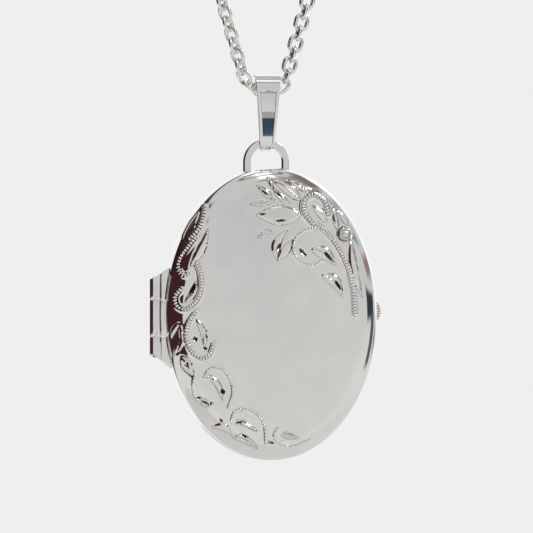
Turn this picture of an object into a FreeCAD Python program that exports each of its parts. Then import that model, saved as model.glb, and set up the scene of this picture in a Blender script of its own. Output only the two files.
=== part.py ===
import FreeCAD, Part
import Sketcher

import math
import os

from FreeCAD import Placement, Rotation, Vector

# Oval photo locket on its chain, hanging closed: two hinged silver shells with photo frames, a
# folded bail and a cable chain that closes in a spring-ring clasp.
#
# The design frame has its origin at the centre of the case, on the seam between the two halves:
# X to the right, Y to the back, Z up. Every sub-part is then placed so that the model's origin is
# the inner top of the clasp ring, which is where a display peg carries the whole necklace.
# Lengths are in millimetres and angles in degrees.

DIMENSIONS = {
    # where the necklace hangs, measured from the centre of the case
    "peg_x": 0.17,
    "peg_y": 0.5,
    "peg_z": 43.5,
    # the case: two equal oval shells, one on each side of the seam
    "case_half_width": 10.7,
    "case_half_height": 14.6,
    "half_depth": 2.75,
    "seam_gap": 0.05,
    "shell_wall": 0.4,
    "shoulder_round": 1.9,
    # inside each half, as insets from the outline and depths from the seam plane
    "seat_outer_inset": 0.46,
    "seat_inset": 2.2,
    "lip_outer_inset": 1.08,
    "lip_inner_inset": 1.23,
    "lip_front": 0.2,
    "frame_outer_inset": 1.25,
    "frame_inner_inset": 2.4,
    "frame_front": 0.12,
    "window_inset": 1.3,
    "window_front": 0.38,
    "seat_front": 0.5,
    "seat_back": 0.8,
    # hinge on the left edge
    "hinge_axis_x": -11.6,
    "hinge_top": 4.7,
    "hinge_top_outer": 3.35,
    "hinge_bottom": -5.5,
    "hinge_bottom_outer": -3.9,
    "middle_top": 1.44,
    "middle_bottom": -2.24,
    "knuckle_gap": 0.04,
    "knuckle_radius": 0.6,
    "knuckle_bore": 0.28,
    "pin_radius": 0.25,
    "pin_top": 3.7,
    "pin_bottom": -4.3,
    "saddle_near": 0.06,
    "saddle_far": 0.72,
    # thumb piece and catch on the right edge
    "thumb_radius": 1.48,
    "thumb_centre_x": 9.77,
    "thumb_centre_z": 0.27,
    "thumb_near": 0.08,
    "thumb_far": 0.62,
    "tongue_inner_x": 9.7,
    "tongue_outer_x": 9.92,
    "tongue_half_height": 1.3,
    "tongue_reach": 0.42,
    "keeper_inner_x": 9.97,
    "keeper_half_height": 1.0,
    "keeper_near": 0.1,
    # stone in its collet, low on the right shoulder of the cover
    "stone_x": 7.15,
    "stone_z": 8.0,
    "stone_front": 2.78,
    "stone_radius": 0.4,
    "stone_table": 0.22,
    "stone_crown": 0.18,
    "stone_girdle": 0.03,
    "stone_pavilion": 0.25,
    "collet_radius": 0.6,
    "collet_bore": 0.43,
    "collet_ledge_bore": 0.3,
    "collet_rise": 0.2,
    "collet_ledge": 0.2,
    "collet_foot": 0.75,
    # loop soldered to the top of the back shell
    "loop_x": -0.3,
    "loop_centre_z": 15.19,
    "loop_radius": 1.95,
    "loop_wire": 0.8,
    "loop_leg": 0.96,
    # bail: a tapered band folded round the loop and the chain
    "bail_wall": 0.26,
    "bail_roll_z": 5.5,
    "bail_roll_bore": 1.05,
    "bail_foot_bore": 0.6,
    "bail_top_width": 2.63,
    "bail_foot_width": 1.3,
    # cable chain
    "link_length": 1.94,
    "link_width": 1.56,
    "link_wire": 0.4,
    "link_pitch": 1.1,
    "strand_twist": 45.0,
    # spring-ring clasp and the two jump rings
    "clasp_radius": 2.0,
    "clasp_tube": 0.5,
    "clasp_bore": 0.32,
    "clasp_start": 20.0,
    "clasp_sweep": 315.0,
    "bolt_radius": 0.28,
    "bolt_tip": 12.0,
    "bolt_sweep": 83.0,
    "nub_angle": 88.0,
    "nub_radius": 0.18,
    "nub_height": 1.0,
    "slot_width": 0.5,
    "slot_floor": 2.15,
    "slot_start": 236.0,
    "slot_sweep": 62.0,
    "spring_start": 96.5,
    "spring_sweep": 99.5,
    "spring_bore": 0.14,
    "eyelet_radius": 0.8,
    "eyelet_bore": 0.38,
    "eyelet_centre": 3.1,
    "eyelet_depth": 0.44,
    "eyelet_angle": 225.0,
    "ring_wire": 0.4,
    "ring_clearance": 0.05,
    "small_ring_radius": 0.85,
    "large_ring_radius": 1.0,
    "large_ring_angle": -45.0,
}

# The chain's route in the X-Z plane of the loop, from the clasp's eyelet down through the bail and
# up to the clasp again: two straight strands, a turn inside the bail and an arch above.
CHAIN_ROUTE = [
    (-3.55, 38.28),
    (-4.93, 36.90),
    (-5.66, 34.05),
    (-2.41, 23.24),
    (-1.46, 22.48),
    (0.85, 22.46),
    (1.63, 23.20),
    (4.98, 35.25),
    (4.18, 38.00),
    (2.69, 39.50),
]
BEND_SHARE = 0.45
# The twist grows over the first tenth of the route and is gone where the chain leaves the bail.
TWIST_RISE = 0.1
TWIST_END = 0.5

doc = FreeCAD.newDocument("locket")
sheet = doc.addObject("Spreadsheet::Sheet", "sizes")


def fill_sheet():
    """One row for each driving dimension: its name, its value and its alias."""
    for row, (name, value) in enumerate(DIMENSIONS.items(), start=1):
        sheet.set(f"A{row}", name)
        sheet.set(f"B{row}", str(value))
        sheet.setAlias(f"B{row}", name)
    doc.recompute()


def size(name):
    return float(DIMENSIONS[name])


# ---------------------------------------------------------------- bodies and sketches


def new_body(label, x="0", y="0", z="0"):
    """A body whose own origin is at x, y, z of the design frame."""
    body = doc.addObject("PartDesign::Body", label)
    body.Label = label
    body.setExpression("Placement.Base.x", f"({x}) - sizes.peg_x")
    body.setExpression("Placement.Base.y", f"({y}) - sizes.peg_y")
    body.setExpression("Placement.Base.z", f"({z}) - sizes.peg_z")
    return body


def new_sketch(body, plane, name, offset=None):
    """A sketch on one of the body's own origin planes, moved along its normal by offset."""
    sketch = body.newObject("Sketcher::SketchObject", f"{body.Name}_{name}")
    support = [item for item in body.Origin.OriginFeatures if item.Role == plane][0]
    sketch.AttachmentSupport = [(support, "")]
    sketch.MapMode = "FlatFace"
    if offset:
        sketch.setExpression("AttachmentOffset.Base.z", offset)
    return sketch


def bind(sketch, constraint, expression):
    """Adds a dimensional constraint and ties it to the sheet."""
    index = sketch.addConstraint(constraint)
    sketch.setExpression(f"Constraints[{index}]", expression)
    return index


def fix_point(sketch, geometry, point, across, up):
    """Places one point of the sketch by its two distances from the sketch's origin."""
    bind(sketch, Sketcher.Constraint("DistanceX", -1, 1, geometry, point, 0.1), across)
    bind(sketch, Sketcher.Constraint("DistanceY", -1, 1, geometry, point, 0.1), up)


def add_circle(sketch, across, up, radius):
    circle = sketch.addGeometry(Part.Circle(Vector(1, 1, 0), Vector(0, 0, 1), 1))
    fix_point(sketch, circle, 3, across, up)
    bind(sketch, Sketcher.Constraint("Radius", circle, 1.0), radius)


def add_polygon(sketch, points):
    """A closed outline of straight lines through (across, up) pairs of expressions."""
    count = len(points)
    angle = 2 * math.pi / count
    ring = [Vector(math.cos(angle * i), math.sin(angle * i), 0) for i in range(count)]
    lines = [
        sketch.addGeometry(Part.LineSegment(ring[i], ring[(i + 1) % count])) for i in range(count)
    ]
    for i, line in enumerate(lines):
        sketch.addConstraint(Sketcher.Constraint("Coincident", line, 2, lines[(i + 1) % count], 1))
    for line, (across, up) in zip(lines, points):
        fix_point(sketch, line, 1, across, up)


def add_rectangle(sketch, left, right, low, high):
    add_polygon(sketch, [(left, low), (right, low), (right, high), (left, high)])


def add_octagon(sketch, across, width):
    """A regular octagon, flats to the sides, centred on the sketch's first axis."""
    half = f"{width} / 2"
    cut = f"{width} / 2 * tan(22.5 deg)"
    points = []
    for quarter in range(4):
        for u, v in [(half, cut), (cut, half)]:
            turned = {0: (u, v), 1: (f"-({v})", u), 2: (f"-({u})", f"-({v})"), 3: (v, f"-({u})")}
            points.append(turned[quarter])
    add_polygon(sketch, [(f"({across}) + ({u})", v) for u, v in points])


def add_oval(sketch, inset="0", across="0", up="0"):
    """The case's outline, smaller all round by inset."""
    inset_now = size(inset.split(".")[1]) if "." in inset else 0.0
    tall = size("case_half_height") - inset_now
    wide = size("case_half_width") - inset_now
    top, side, centre = Vector(0, tall, 0), Vector(wide, 0, 0), Vector(0, 0, 0)
    oval = sketch.addGeometry(Part.Ellipse(top, side, centre))
    sketch.exposeInternalGeometry(oval)
    major, minor = oval + 1, oval + 2
    fix_point(sketch, oval, 3, across, up)
    sketch.addConstraint(Sketcher.Constraint("Vertical", major))
    bind(sketch, Sketcher.Constraint("Distance", major, 2 * tall), f"2 * (sizes.case_half_height - {inset})")
    bind(sketch, Sketcher.Constraint("Distance", minor, 2 * wide), f"2 * (sizes.case_half_width - {inset})")


# ---------------------------------------------------------------- features


def pad(body, sketch, length, backwards=False, midplane=False):
    feature = body.newObject("PartDesign::Pad", f"{sketch.Name}_pad")
    feature.Profile = sketch
    feature.setExpression("Length", length)
    feature.Reversed = backwards
    feature.Midplane = midplane
    doc.recompute()
    return feature


def pocket(body, sketch, length=None, backwards=False, midplane=False):
    """Cuts the sketch out of the body, right through it when no length is given."""
    before = body.Shape.Volume
    feature = body.newObject("PartDesign::Pocket", f"{sketch.Name}_pocket")
    feature.Profile = sketch
    if length:
        feature.setExpression("Length", length)
    else:
        feature.Type = "ThroughAll"
    feature.Reversed = backwards
    feature.Midplane = midplane
    doc.recompute()
    if not body.Shape.Volume < before - 1e-6:
        raise RuntimeError(f"{feature.Name} cuts nothing")
    return feature


def turn(body, sketch, angle="360", kind="PartDesign::Revolution", backwards=False):
    """Turns the sketch about its own second axis."""
    feature = body.newObject(kind, f"{sketch.Name}_turn")
    feature.Profile = sketch
    feature.ReferenceAxis = (sketch, ["V_Axis"])
    feature.setExpression("Angle", angle)
    feature.Reversed = backwards
    doc.recompute()
    return feature


def round_edges(body, feature, radius, chosen):
    """Rounds the edges of the feature for which chosen(edge) is true."""
    names = [f"Edge{i}" for i, edge in enumerate(feature.Shape.Edges, start=1) if chosen(edge)]
    fillet = body.newObject("PartDesign::Fillet", f"{body.Name}_round")
    fillet.Base = (feature, names)
    fillet.setExpression("Radius", radius)
    doc.recompute()
    return fillet


# ---------------------------------------------------------------- the case


def make_shell(label, front):
    """One stamped half: an oval pan with a flat middle, a round shoulder and an even wall."""
    body = new_body(label)
    outline = new_sketch(body, "XZ_Plane", "outline", shift("sizes.seam_gap", front))
    add_oval(outline)
    block = pad(body, outline, "sizes.half_depth - sizes.seam_gap", backwards=not front)
    deep = size("half_depth")
    rounded = round_edges(
        body, block, "sizes.shoulder_round", lambda edge: abs(abs(edge.CenterOfMass.y) - deep) < 1e-4
    )
    open_face = [
        f"Face{i}"
        for i, face in enumerate(rounded.Shape.Faces, start=1)
        if abs(abs(face.CenterOfMass.y) - size("seam_gap")) < 1e-4
    ]
    hollow = body.newObject("PartDesign::Thickness", f"{label}_hollow")
    hollow.Base = (rounded, open_face)
    hollow.setExpression("Value", "sizes.shell_wall")
    hollow.Reversed = True
    hollow.Join = "Intersection"
    doc.recompute()
    return body


def shift(depth, front):
    """The sketch plane's offset for a depth from the seam, towards the front or the back."""
    return depth if front else f"-({depth})"


def make_oval_ring(label, front, outer, inner, near, far):
    """A flat oval ring between two insets and two depths; with no inner inset it is a plate."""
    body = new_body(label)
    profile = new_sketch(body, "XZ_Plane", "ring", shift(near, front))
    add_oval(profile, outer)
    if inner:
        add_oval(profile, inner)
    pad(body, profile, f"{far} - {near}", backwards=not front)
    return body


def make_half(side, front):
    """Everything inside one half: the soldered seat with its lip, the window and the frame."""
    make_shell(f"{side}_cover", front)
    seat = make_oval_ring(
        f"{side}_rim", front, "sizes.seat_outer_inset", "sizes.seat_inset", "sizes.seat_front", "sizes.seat_back"
    )
    lip = new_sketch(seat, "XZ_Plane", "lip", shift("sizes.lip_front", front))
    add_oval(lip, "sizes.lip_outer_inset")
    add_oval(lip, "sizes.lip_inner_inset")
    pad(seat, lip, "sizes.seat_front - sizes.lip_front", backwards=not front)
    make_oval_ring(
        f"{side}_photo_window", front, "sizes.window_inset", None, "sizes.window_front", "sizes.seat_front"
    )
    make_oval_ring(
        f"{side}_photo_frame",
        front,
        "sizes.frame_outer_inset",
        "sizes.frame_inner_inset",
        "sizes.frame_front",
        "sizes.window_front",
    )


def drill_collet_hole(cover):
    hole = new_sketch(cover, "XZ_Plane", "collet_hole")
    add_circle(hole, "sizes.stone_x", "sizes.stone_z", "sizes.collet_radius")
    pocket(cover, hole, backwards=True)


# ---------------------------------------------------------------- hinge


def make_knuckle(label, front, low, high, ramp=None):
    """A tube knuckle with the saddle that is soldered to the edge of its half."""
    body = new_body(label)
    barrel = new_sketch(body, "XY_Plane", "barrel", low)
    add_circle(barrel, "sizes.hinge_axis_x", "0", "sizes.knuckle_radius")
    pad(body, barrel, f"({high}) - ({low})")
    near, far = ("-sizes.saddle_far", "-sizes.saddle_near") if front else ("sizes.saddle_near", "sizes.saddle_far")
    saddle = new_sketch(body, "XY_Plane", "saddle", low)
    add_rectangle(saddle, "sizes.hinge_axis_x", "sizes.hinge_axis_x + 3 * sizes.knuckle_radius", near, far)
    pad(body, saddle, f"({high}) - ({low})")
    case_edge = new_sketch(body, "XZ_Plane", "case_edge")
    add_oval(case_edge)
    pocket(body, case_edge, midplane=True)
    if ramp:
        outside = "sizes.hinge_axis_x - 2 * sizes.knuckle_radius"
        inside = "sizes.hinge_axis_x + 1.5 * sizes.knuckle_radius"
        outer_end, inner_end = ramp
        end_cut = new_sketch(body, "XZ_Plane", "end_cut")
        far_end = f"2 * ({inner_end}) - ({outer_end})"
        add_polygon(end_cut, [(outside, outer_end), (inside, inner_end), (inside, far_end), (outside, far_end)])
        pocket(body, end_cut, midplane=True)
    bore = new_sketch(body, "XY_Plane", "bore")
    add_circle(bore, "sizes.hinge_axis_x", "0", "sizes.knuckle_bore")
    pocket(body, bore, midplane=True)
    return body


def make_hinge():
    gap = "sizes.knuckle_gap"
    make_knuckle(
        "hinge_knuckle_top",
        False,
        f"sizes.middle_top + {gap} / 2",
        "sizes.hinge_top",
        ("sizes.hinge_top_outer", "sizes.hinge_top"),
    )
    make_knuckle("hinge_knuckle_middle", True, f"sizes.middle_bottom + {gap} / 2", f"sizes.middle_top - {gap} / 2")
    make_knuckle(
        "hinge_knuckle_bottom",
        False,
        "sizes.hinge_bottom",
        f"sizes.middle_bottom - {gap} / 2",
        ("sizes.hinge_bottom_outer", "sizes.hinge_bottom"),
    )
    pin = new_body("hinge_pin")
    section = new_sketch(pin, "XY_Plane", "section", "sizes.pin_bottom")
    add_circle(section, "sizes.hinge_axis_x", "0", "sizes.pin_radius")
    pad(pin, section, "sizes.pin_top - sizes.pin_bottom")


# ---------------------------------------------------------------- thumb piece and catch


def make_thumb_piece():
    """A half-lens of plate on the front half's edge, for a fingernail."""
    body = new_body("thumb_piece")
    lens = new_sketch(body, "XZ_Plane", "lens", "sizes.thumb_near")
    add_circle(lens, "sizes.thumb_centre_x", "sizes.thumb_centre_z", "sizes.thumb_radius")
    pad(body, lens, "sizes.thumb_far - sizes.thumb_near")
    case_edge = new_sketch(body, "XZ_Plane", "case_edge")
    add_oval(case_edge)
    pocket(body, case_edge, midplane=True)


def make_catch():
    """The springy tongue on the front rim and the keeper that it rubs past in the back half."""
    tongue = new_body("catch_tongue")
    blade = new_sketch(tongue, "XY_Plane", "blade")
    add_rectangle(
        blade, "sizes.tongue_inner_x", "sizes.tongue_outer_x", "-sizes.seat_front", "sizes.tongue_reach"
    )
    pad(tongue, blade, "2 * sizes.tongue_half_height", midplane=True)
    keeper = new_body("catch_keeper")
    bar = new_sketch(keeper, "XY_Plane", "bar")
    add_rectangle(bar, "sizes.keeper_inner_x", "sizes.case_half_width", "sizes.keeper_near", "sizes.seat_front")
    pad(keeper, bar, "2 * sizes.keeper_half_height", midplane=True)
    wall_face = new_sketch(keeper, "XZ_Plane", "wall_face")
    add_oval(wall_face, "sizes.shell_wall")
    add_rectangle(
        wall_face,
        "-2 * sizes.case_half_width",
        "2 * sizes.case_half_width",
        "-2 * sizes.case_half_height",
        "2 * sizes.case_half_height",
    )
    pocket(keeper, wall_face, midplane=True)


# ---------------------------------------------------------------- stone


def make_stone():
    """A small clear stone in a tube collet that stands through the cover."""
    collet = new_body("stone_collet", "sizes.stone_x", "-sizes.stone_front", "sizes.stone_z")
    wall = new_sketch(collet, "XY_Plane", "wall")
    add_polygon(
        wall,
        [
            ("sizes.collet_bore", "-sizes.collet_rise"),
            ("sizes.collet_radius", "-sizes.collet_rise"),
            ("sizes.collet_radius", "sizes.collet_foot"),
            ("sizes.collet_ledge_bore", "sizes.collet_foot"),
            ("sizes.collet_ledge_bore", "sizes.collet_ledge"),
            ("sizes.collet_bore", "sizes.collet_ledge"),
        ],
    )
    turn(collet, wall)
    stone = new_body("accent_stone", "sizes.stone_x", "-sizes.stone_front", "sizes.stone_z")
    facets = new_sketch(stone, "XY_Plane", "facets")
    add_polygon(
        facets,
        [
            ("0", "sizes.stone_pavilion"),
            ("0", "-sizes.stone_crown"),
            ("sizes.stone_table", "-sizes.stone_crown"),
            ("sizes.stone_radius", "-sizes.stone_girdle"),
            ("sizes.stone_radius", "0"),
        ],
    )
    turn(stone, facets)


# ---------------------------------------------------------------- loop and bail


def make_case_loop():
    """Half a hoop of bevelled wire with two short legs that stand on the back shell's edge."""
    body = new_body("case_loop", "sizes.loop_x", "sizes.peg_y", "sizes.loop_centre_z")
    section = new_sketch(body, "XY_Plane", "section")
    add_octagon(section, "sizes.loop_radius", "sizes.loop_wire")
    turn(body, section, "180", backwards=True)
    legs = new_sketch(body, "XY_Plane", "legs")
    add_octagon(legs, "sizes.loop_radius", "sizes.loop_wire")
    add_octagon(legs, "-sizes.loop_radius", "sizes.loop_wire")
    pad(body, legs, "sizes.loop_leg", backwards=True)
    case_edge = new_sketch(body, "XZ_Plane", "case_edge")
    add_oval(case_edge, "0", "-sizes.loop_x", "-sizes.loop_centre_z")
    pocket(body, case_edge, midplane=True)


def add_belt(sketch, top_up, top_radius, foot_radius):
    """The outline of a belt round two circles: the foot's on the origin, the other above it."""
    rise = size("bail_roll_z")
    grow = size("bail_roll_bore") - size("bail_foot_bore")
    lean = math.asin(grow / rise)
    centre_top, centre_foot = Vector(0, rise, 0), Vector(0, 0, 0)
    radius_top = size("bail_roll_bore") + 0.1
    radius_foot = size("bail_foot_bore") + 0.1
    normal = Vector(0, 0, 1)
    over = sketch.addGeometry(
        Part.ArcOfCircle(Part.Circle(centre_top, normal, radius_top), -lean, math.pi + lean)
    )
    under = sketch.addGeometry(
        Part.ArcOfCircle(Part.Circle(centre_foot, normal, radius_foot), math.pi + lean, 2 * math.pi - lean)
    )
    left_top = centre_top + radius_top * Vector(-math.cos(lean), -math.sin(lean), 0)
    left_foot = radius_foot * Vector(-math.cos(lean), -math.sin(lean), 0)
    right_top = Vector(-left_top.x, left_top.y, 0)
    right_foot = Vector(-left_foot.x, left_foot.y, 0)
    left = sketch.addGeometry(Part.LineSegment(left_top, left_foot))
    right = sketch.addGeometry(Part.LineSegment(right_foot, right_top))
    for first, first_end, second, second_end in (
        (over, 2, left, 1),
        (left, 2, under, 1),
        (under, 2, right, 1),
        (right, 2, over, 1),
    ):
        sketch.addConstraint(Sketcher.Constraint("Tangent", first, first_end, second, second_end))
    fix_point(sketch, over, 3, "0", top_up)
    fix_point(sketch, under, 3, "0", "0")
    bind(sketch, Sketcher.Constraint("Radius", over, radius_top), top_radius)
    bind(sketch, Sketcher.Constraint("Radius", under, radius_foot), foot_radius)


def make_bail():
    """A band folded over the chain and round the loop, tapering in width towards its foot.
    Its own origin is the axis of the loop's top wire, which it swings on."""
    body = new_body("bail", "sizes.loop_x", "sizes.peg_y", "sizes.loop_centre_z + sizes.loop_radius")
    roll, foot, wall = "sizes.bail_roll_bore", "sizes.bail_foot_bore", "sizes.bail_wall"
    outside = new_sketch(body, "YZ_Plane", "outside")
    add_belt(outside, "sizes.bail_roll_z", f"{roll} + {wall}", f"{foot} + {wall}")
    pad(body, outside, "sizes.bail_top_width", midplane=True)
    inside = new_sketch(body, "YZ_Plane", "inside")
    add_belt(inside, "sizes.bail_roll_z", roll, foot)
    pocket(body, inside, midplane=True)
    taper = new_sketch(body, "XZ_Plane", "taper")
    top = f"sizes.bail_roll_z + {roll} + {wall}"
    low = f"-{foot} - {wall}"
    for side in ("", "-"):
        add_polygon(
            taper,
            [
                (f"{side}sizes.bail_top_width / 2", top),
                (f"{side}sizes.bail_foot_width / 2", low),
                (f"{side}sizes.bail_top_width", low),
                (f"{side}sizes.bail_top_width", top),
            ],
        )
    pocket(body, taper, midplane=True)


# ---------------------------------------------------------------- chain


def route_wire(points):
    """The route as straight runs joined by tangent arcs, each as large as its runs allow."""
    corners = [Vector(x, size("peg_y"), z) for x, z in points]
    edges = []
    radii = []
    start = corners[0]
    for before, corner, after in zip(corners, corners[1:], corners[2:]):
        inward, outward = before - corner, after - corner
        reach = BEND_SHARE * min(inward.Length, outward.Length)
        half_turn = (math.pi - inward.getAngle(outward)) / 2
        radius = reach / math.tan(half_turn)
        inward.normalize()
        outward.normalize()
        bisector = (inward + outward).normalize()
        entry = corner + inward * reach
        leave = corner + outward * reach
        middle = corner + bisector * (radius / math.cos(half_turn) - radius)
        edges.append(Part.LineSegment(start, entry).toShape())
        edges.append(Part.Arc(entry, middle, leave).toShape())
        radii.append(radius)
        start = leave
    edges.append(Part.LineSegment(start, corners[-1]).toShape())
    return Part.Wire(edges), radii


def ease(share):
    """A smooth step from 0 to 1."""
    share = min(max(share, 0.0), 1.0)
    return share * share * (3 - 2 * share)


def make_link():
    """One oval link, lying in the X-Z plane with its length along X."""
    wire = size("link_wire") / 2
    bend = size("link_width") / 2 - wire
    reach = size("link_length") / 2 - wire - bend
    loop = Part.Wire(
        [
            Part.LineSegment(Vector(-reach, 0, bend), Vector(reach, 0, bend)).toShape(),
            Part.Arc(Vector(reach, 0, bend), Vector(reach + bend, 0, 0), Vector(reach, 0, -bend)).toShape(),
            Part.LineSegment(Vector(reach, 0, -bend), Vector(-reach, 0, -bend)).toShape(),
            Part.Arc(Vector(-reach, 0, -bend), Vector(-reach - bend, 0, 0), Vector(-reach, 0, bend)).toShape(),
        ]
    )
    section = Part.Wire([Part.Circle(Vector(0, 0, bend), Vector(1, 0, 0), wire).toShape()])
    return loop.makePipeShell([section], True, False)


def make_chain():
    """Links along the route, each turned a quarter from the one before; the twist that the
    left strand has in hanging comes in and goes out again along it."""
    wire, radii = route_wire(CHAIN_ROUTE)
    gaps = 2 * round((wire.Length / size("link_pitch")) / 2)
    stations = wire.discretize(Number=2 * gaps + 1)
    link = make_link()
    links = []
    for number in range(gaps + 1):
        here = stations[2 * number]
        before = stations[max(2 * number - 1, 0)]
        after = stations[min(2 * number + 1, 2 * gaps)]
        along = (after - before).normalize()
        share = min(2 * number / gaps, 1)
        twist = size("strand_twist") * ease(share / TWIST_RISE) * ease((TWIST_END - share) / TWIST_RISE)
        roll = Rotation(Vector(1, 0, 0), 90 * (number % 2) + twist)
        aimed = Rotation(Vector(0, 1, 0), -math.degrees(math.atan2(along.z, along.x)))
        copy = link.copy()
        copy.Placement = Placement(here, aimed * roll)
        links.append(copy)
    print(f"chain: {len(links)} links, route {wire.Length:.2f} mm, pitch {wire.Length / gaps:.3f} mm")
    print("chain: bend radii", [round(radius, 2) for radius in radii])
    chain = doc.addObject("Part::Feature", "chain_links")
    chain.Label = "chain_links"
    chain.Shape = Part.makeCompound(links)
    chain.Placement = Placement(Vector(-size("peg_x"), -size("peg_y"), -size("peg_z")), Rotation())


# ---------------------------------------------------------------- clasp


def new_clasp_body(label, angle, radial="0", upright=False):
    """A body on the clasp ring, its X axis pointing outwards at an angle above the right."""
    body = doc.addObject("PartDesign::Body", label)
    body.Label = label
    stand = Rotation(Vector(1, 0, 0), 90 if upright else 0)
    body.Placement = Placement(Vector(), Rotation(Vector(0, 1, 0), -angle) * stand)
    body.setExpression("Placement.Base.x", f"({radial}) * cos({angle} deg)")
    body.setExpression("Placement.Base.z", f"({radial}) * sin({angle} deg) - sizes.clasp_radius + sizes.clasp_tube")
    return body


def make_clasp():
    """A ring of tube with a gap, closed by a sprung bolt that a fingernail draws back."""
    ring = new_clasp_body("clasp_ring", size("clasp_start"))
    tube = new_sketch(ring, "XY_Plane", "tube")
    add_circle(tube, "sizes.clasp_radius", "0", "sizes.clasp_tube")
    add_circle(tube, "sizes.clasp_radius", "0", "sizes.clasp_bore")
    turn(ring, tube, "sizes.clasp_sweep")
    slot = new_sketch(ring, "XY_Plane", "slot")
    slot.AttachmentOffset = Placement(Vector(), Rotation(Vector(0, 1, 0), size("slot_start")))
    add_rectangle(
        slot,
        "sizes.slot_floor",
        "sizes.clasp_radius + 2 * sizes.clasp_tube",
        "-sizes.slot_width / 2",
        "sizes.slot_width / 2",
    )
    turn(ring, slot, "sizes.slot_sweep", "PartDesign::Groove")

    bolt = new_clasp_body("clasp_bolt", size("nub_angle"))
    rod = new_sketch(bolt, "XY_Plane", "rod")
    rod.AttachmentOffset = Placement(
        Vector(), Rotation(Vector(0, 1, 0), size("nub_angle") - size("bolt_tip") - size("bolt_sweep"))
    )
    add_circle(rod, "sizes.clasp_radius", "0", "sizes.bolt_radius")
    turn(bolt, rod, "sizes.bolt_sweep")
    nub = new_sketch(bolt, "YZ_Plane", "nub", "sizes.clasp_radius")
    add_circle(nub, "0", "0", "sizes.nub_radius")
    pad(bolt, nub, "sizes.nub_height")

    spring = new_clasp_body("clasp_spring", size("spring_start") + size("spring_sweep"))
    coil = new_sketch(spring, "XY_Plane", "coil")
    add_circle(coil, "sizes.clasp_radius", "0", "sizes.bolt_radius")
    add_circle(coil, "sizes.clasp_radius", "0", "sizes.spring_bore")
    turn(spring, coil, "sizes.spring_sweep")

    eyelet = new_clasp_body("clasp_eyelet", size("eyelet_angle"))
    eye = new_sketch(eyelet, "XZ_Plane", "eye")
    add_circle(eye, "sizes.eyelet_centre", "0", "sizes.eyelet_radius")
    add_circle(eye, "sizes.eyelet_centre", "0", "sizes.eyelet_bore")
    pad(eyelet, eye, "sizes.eyelet_depth", midplane=True)
    seat = new_sketch(eyelet, "XY_Plane", "seat")
    add_circle(seat, "sizes.clasp_radius", "0", "sizes.clasp_tube")
    turn(eyelet, seat, "360", "PartDesign::Groove")


def make_jump_ring(label, angle, radius, centre):
    """A round wire ring standing across the clasp's plane."""
    body = new_clasp_body(label, size(angle), centre, upright=True)
    section = new_sketch(body, "XY_Plane", "section")
    add_circle(section, radius, "0", "sizes.ring_wire / 2")
    turn(body, section)


def make_jump_rings():
    wire, gap = "sizes.ring_wire / 2", "sizes.ring_clearance"
    make_jump_ring(
        "jump_ring_fixed",
        "eyelet_angle",
        "sizes.small_ring_radius",
        f"sizes.eyelet_centre + sizes.eyelet_bore - {wire} - {gap} + sizes.small_ring_radius",
    )
    make_jump_ring(
        "jump_ring_free",
        "large_ring_angle",
        "sizes.large_ring_radius",
        f"sizes.clasp_radius - sizes.clasp_tube - {wire} - {gap} + sizes.large_ring_radius",
    )


# ---------------------------------------------------------------- checking and writing


def sub_parts():
    """The finished sub-parts: every body, and the chain."""
    kinds = ("PartDesign::Body", "Part::Feature")
    return [item for item in doc.Objects if item.TypeId in kinds and item.Label == item.Name]


def check_document():
    for item in doc.Objects:
        if "Invalid" in item.State or "Error" in item.State:
            raise RuntimeError(f"{item.Label} is in state {item.State}")
    for item in sub_parts():
        if item.Shape.isNull() or not item.Shape.isValid():
            raise RuntimeError(f"{item.Label} has no valid shape")


def write_parts():
    os.makedirs("parts", exist_ok=True)
    for item in sub_parts():
        item.Shape.exportStep(f"parts/{item.Label}.step")
        box = item.Shape.BoundBox
        print(
            f"{item.Label:22s} {len(item.Shape.Solids):3d} solid(s) {item.Shape.Volume:9.3f} mm3"
            f"  x {box.XMin:7.2f} {box.XMax:7.2f}  y {box.YMin:6.2f} {box.YMax:6.2f}"
            f"  z {box.ZMin:7.2f} {box.ZMax:7.2f}"
        )


fill_sheet()
make_half("back", front=False)
make_half("front", front=True)
drill_collet_hole(doc.getObject("front_cover"))
make_hinge()
make_thumb_piece()
make_catch()
make_stone()
make_case_loop()
make_bail()
make_chain()
make_clasp()
make_jump_rings()
doc.recompute()
check_document()
write_parts()
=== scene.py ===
# %% [markdown]
# # An oval photo locket on its chain
#
# The locket hangs closed from a cable chain. Two stamped silver shells are hinged on the left; the
# front one carries a raised vine with milgrain stems. The CAD model fixes every size and place,
# and this notebook gives each piece the surface that a silversmith would: crowned faces, bevels,
# beads, bright cuts and polished metal.

import math

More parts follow.
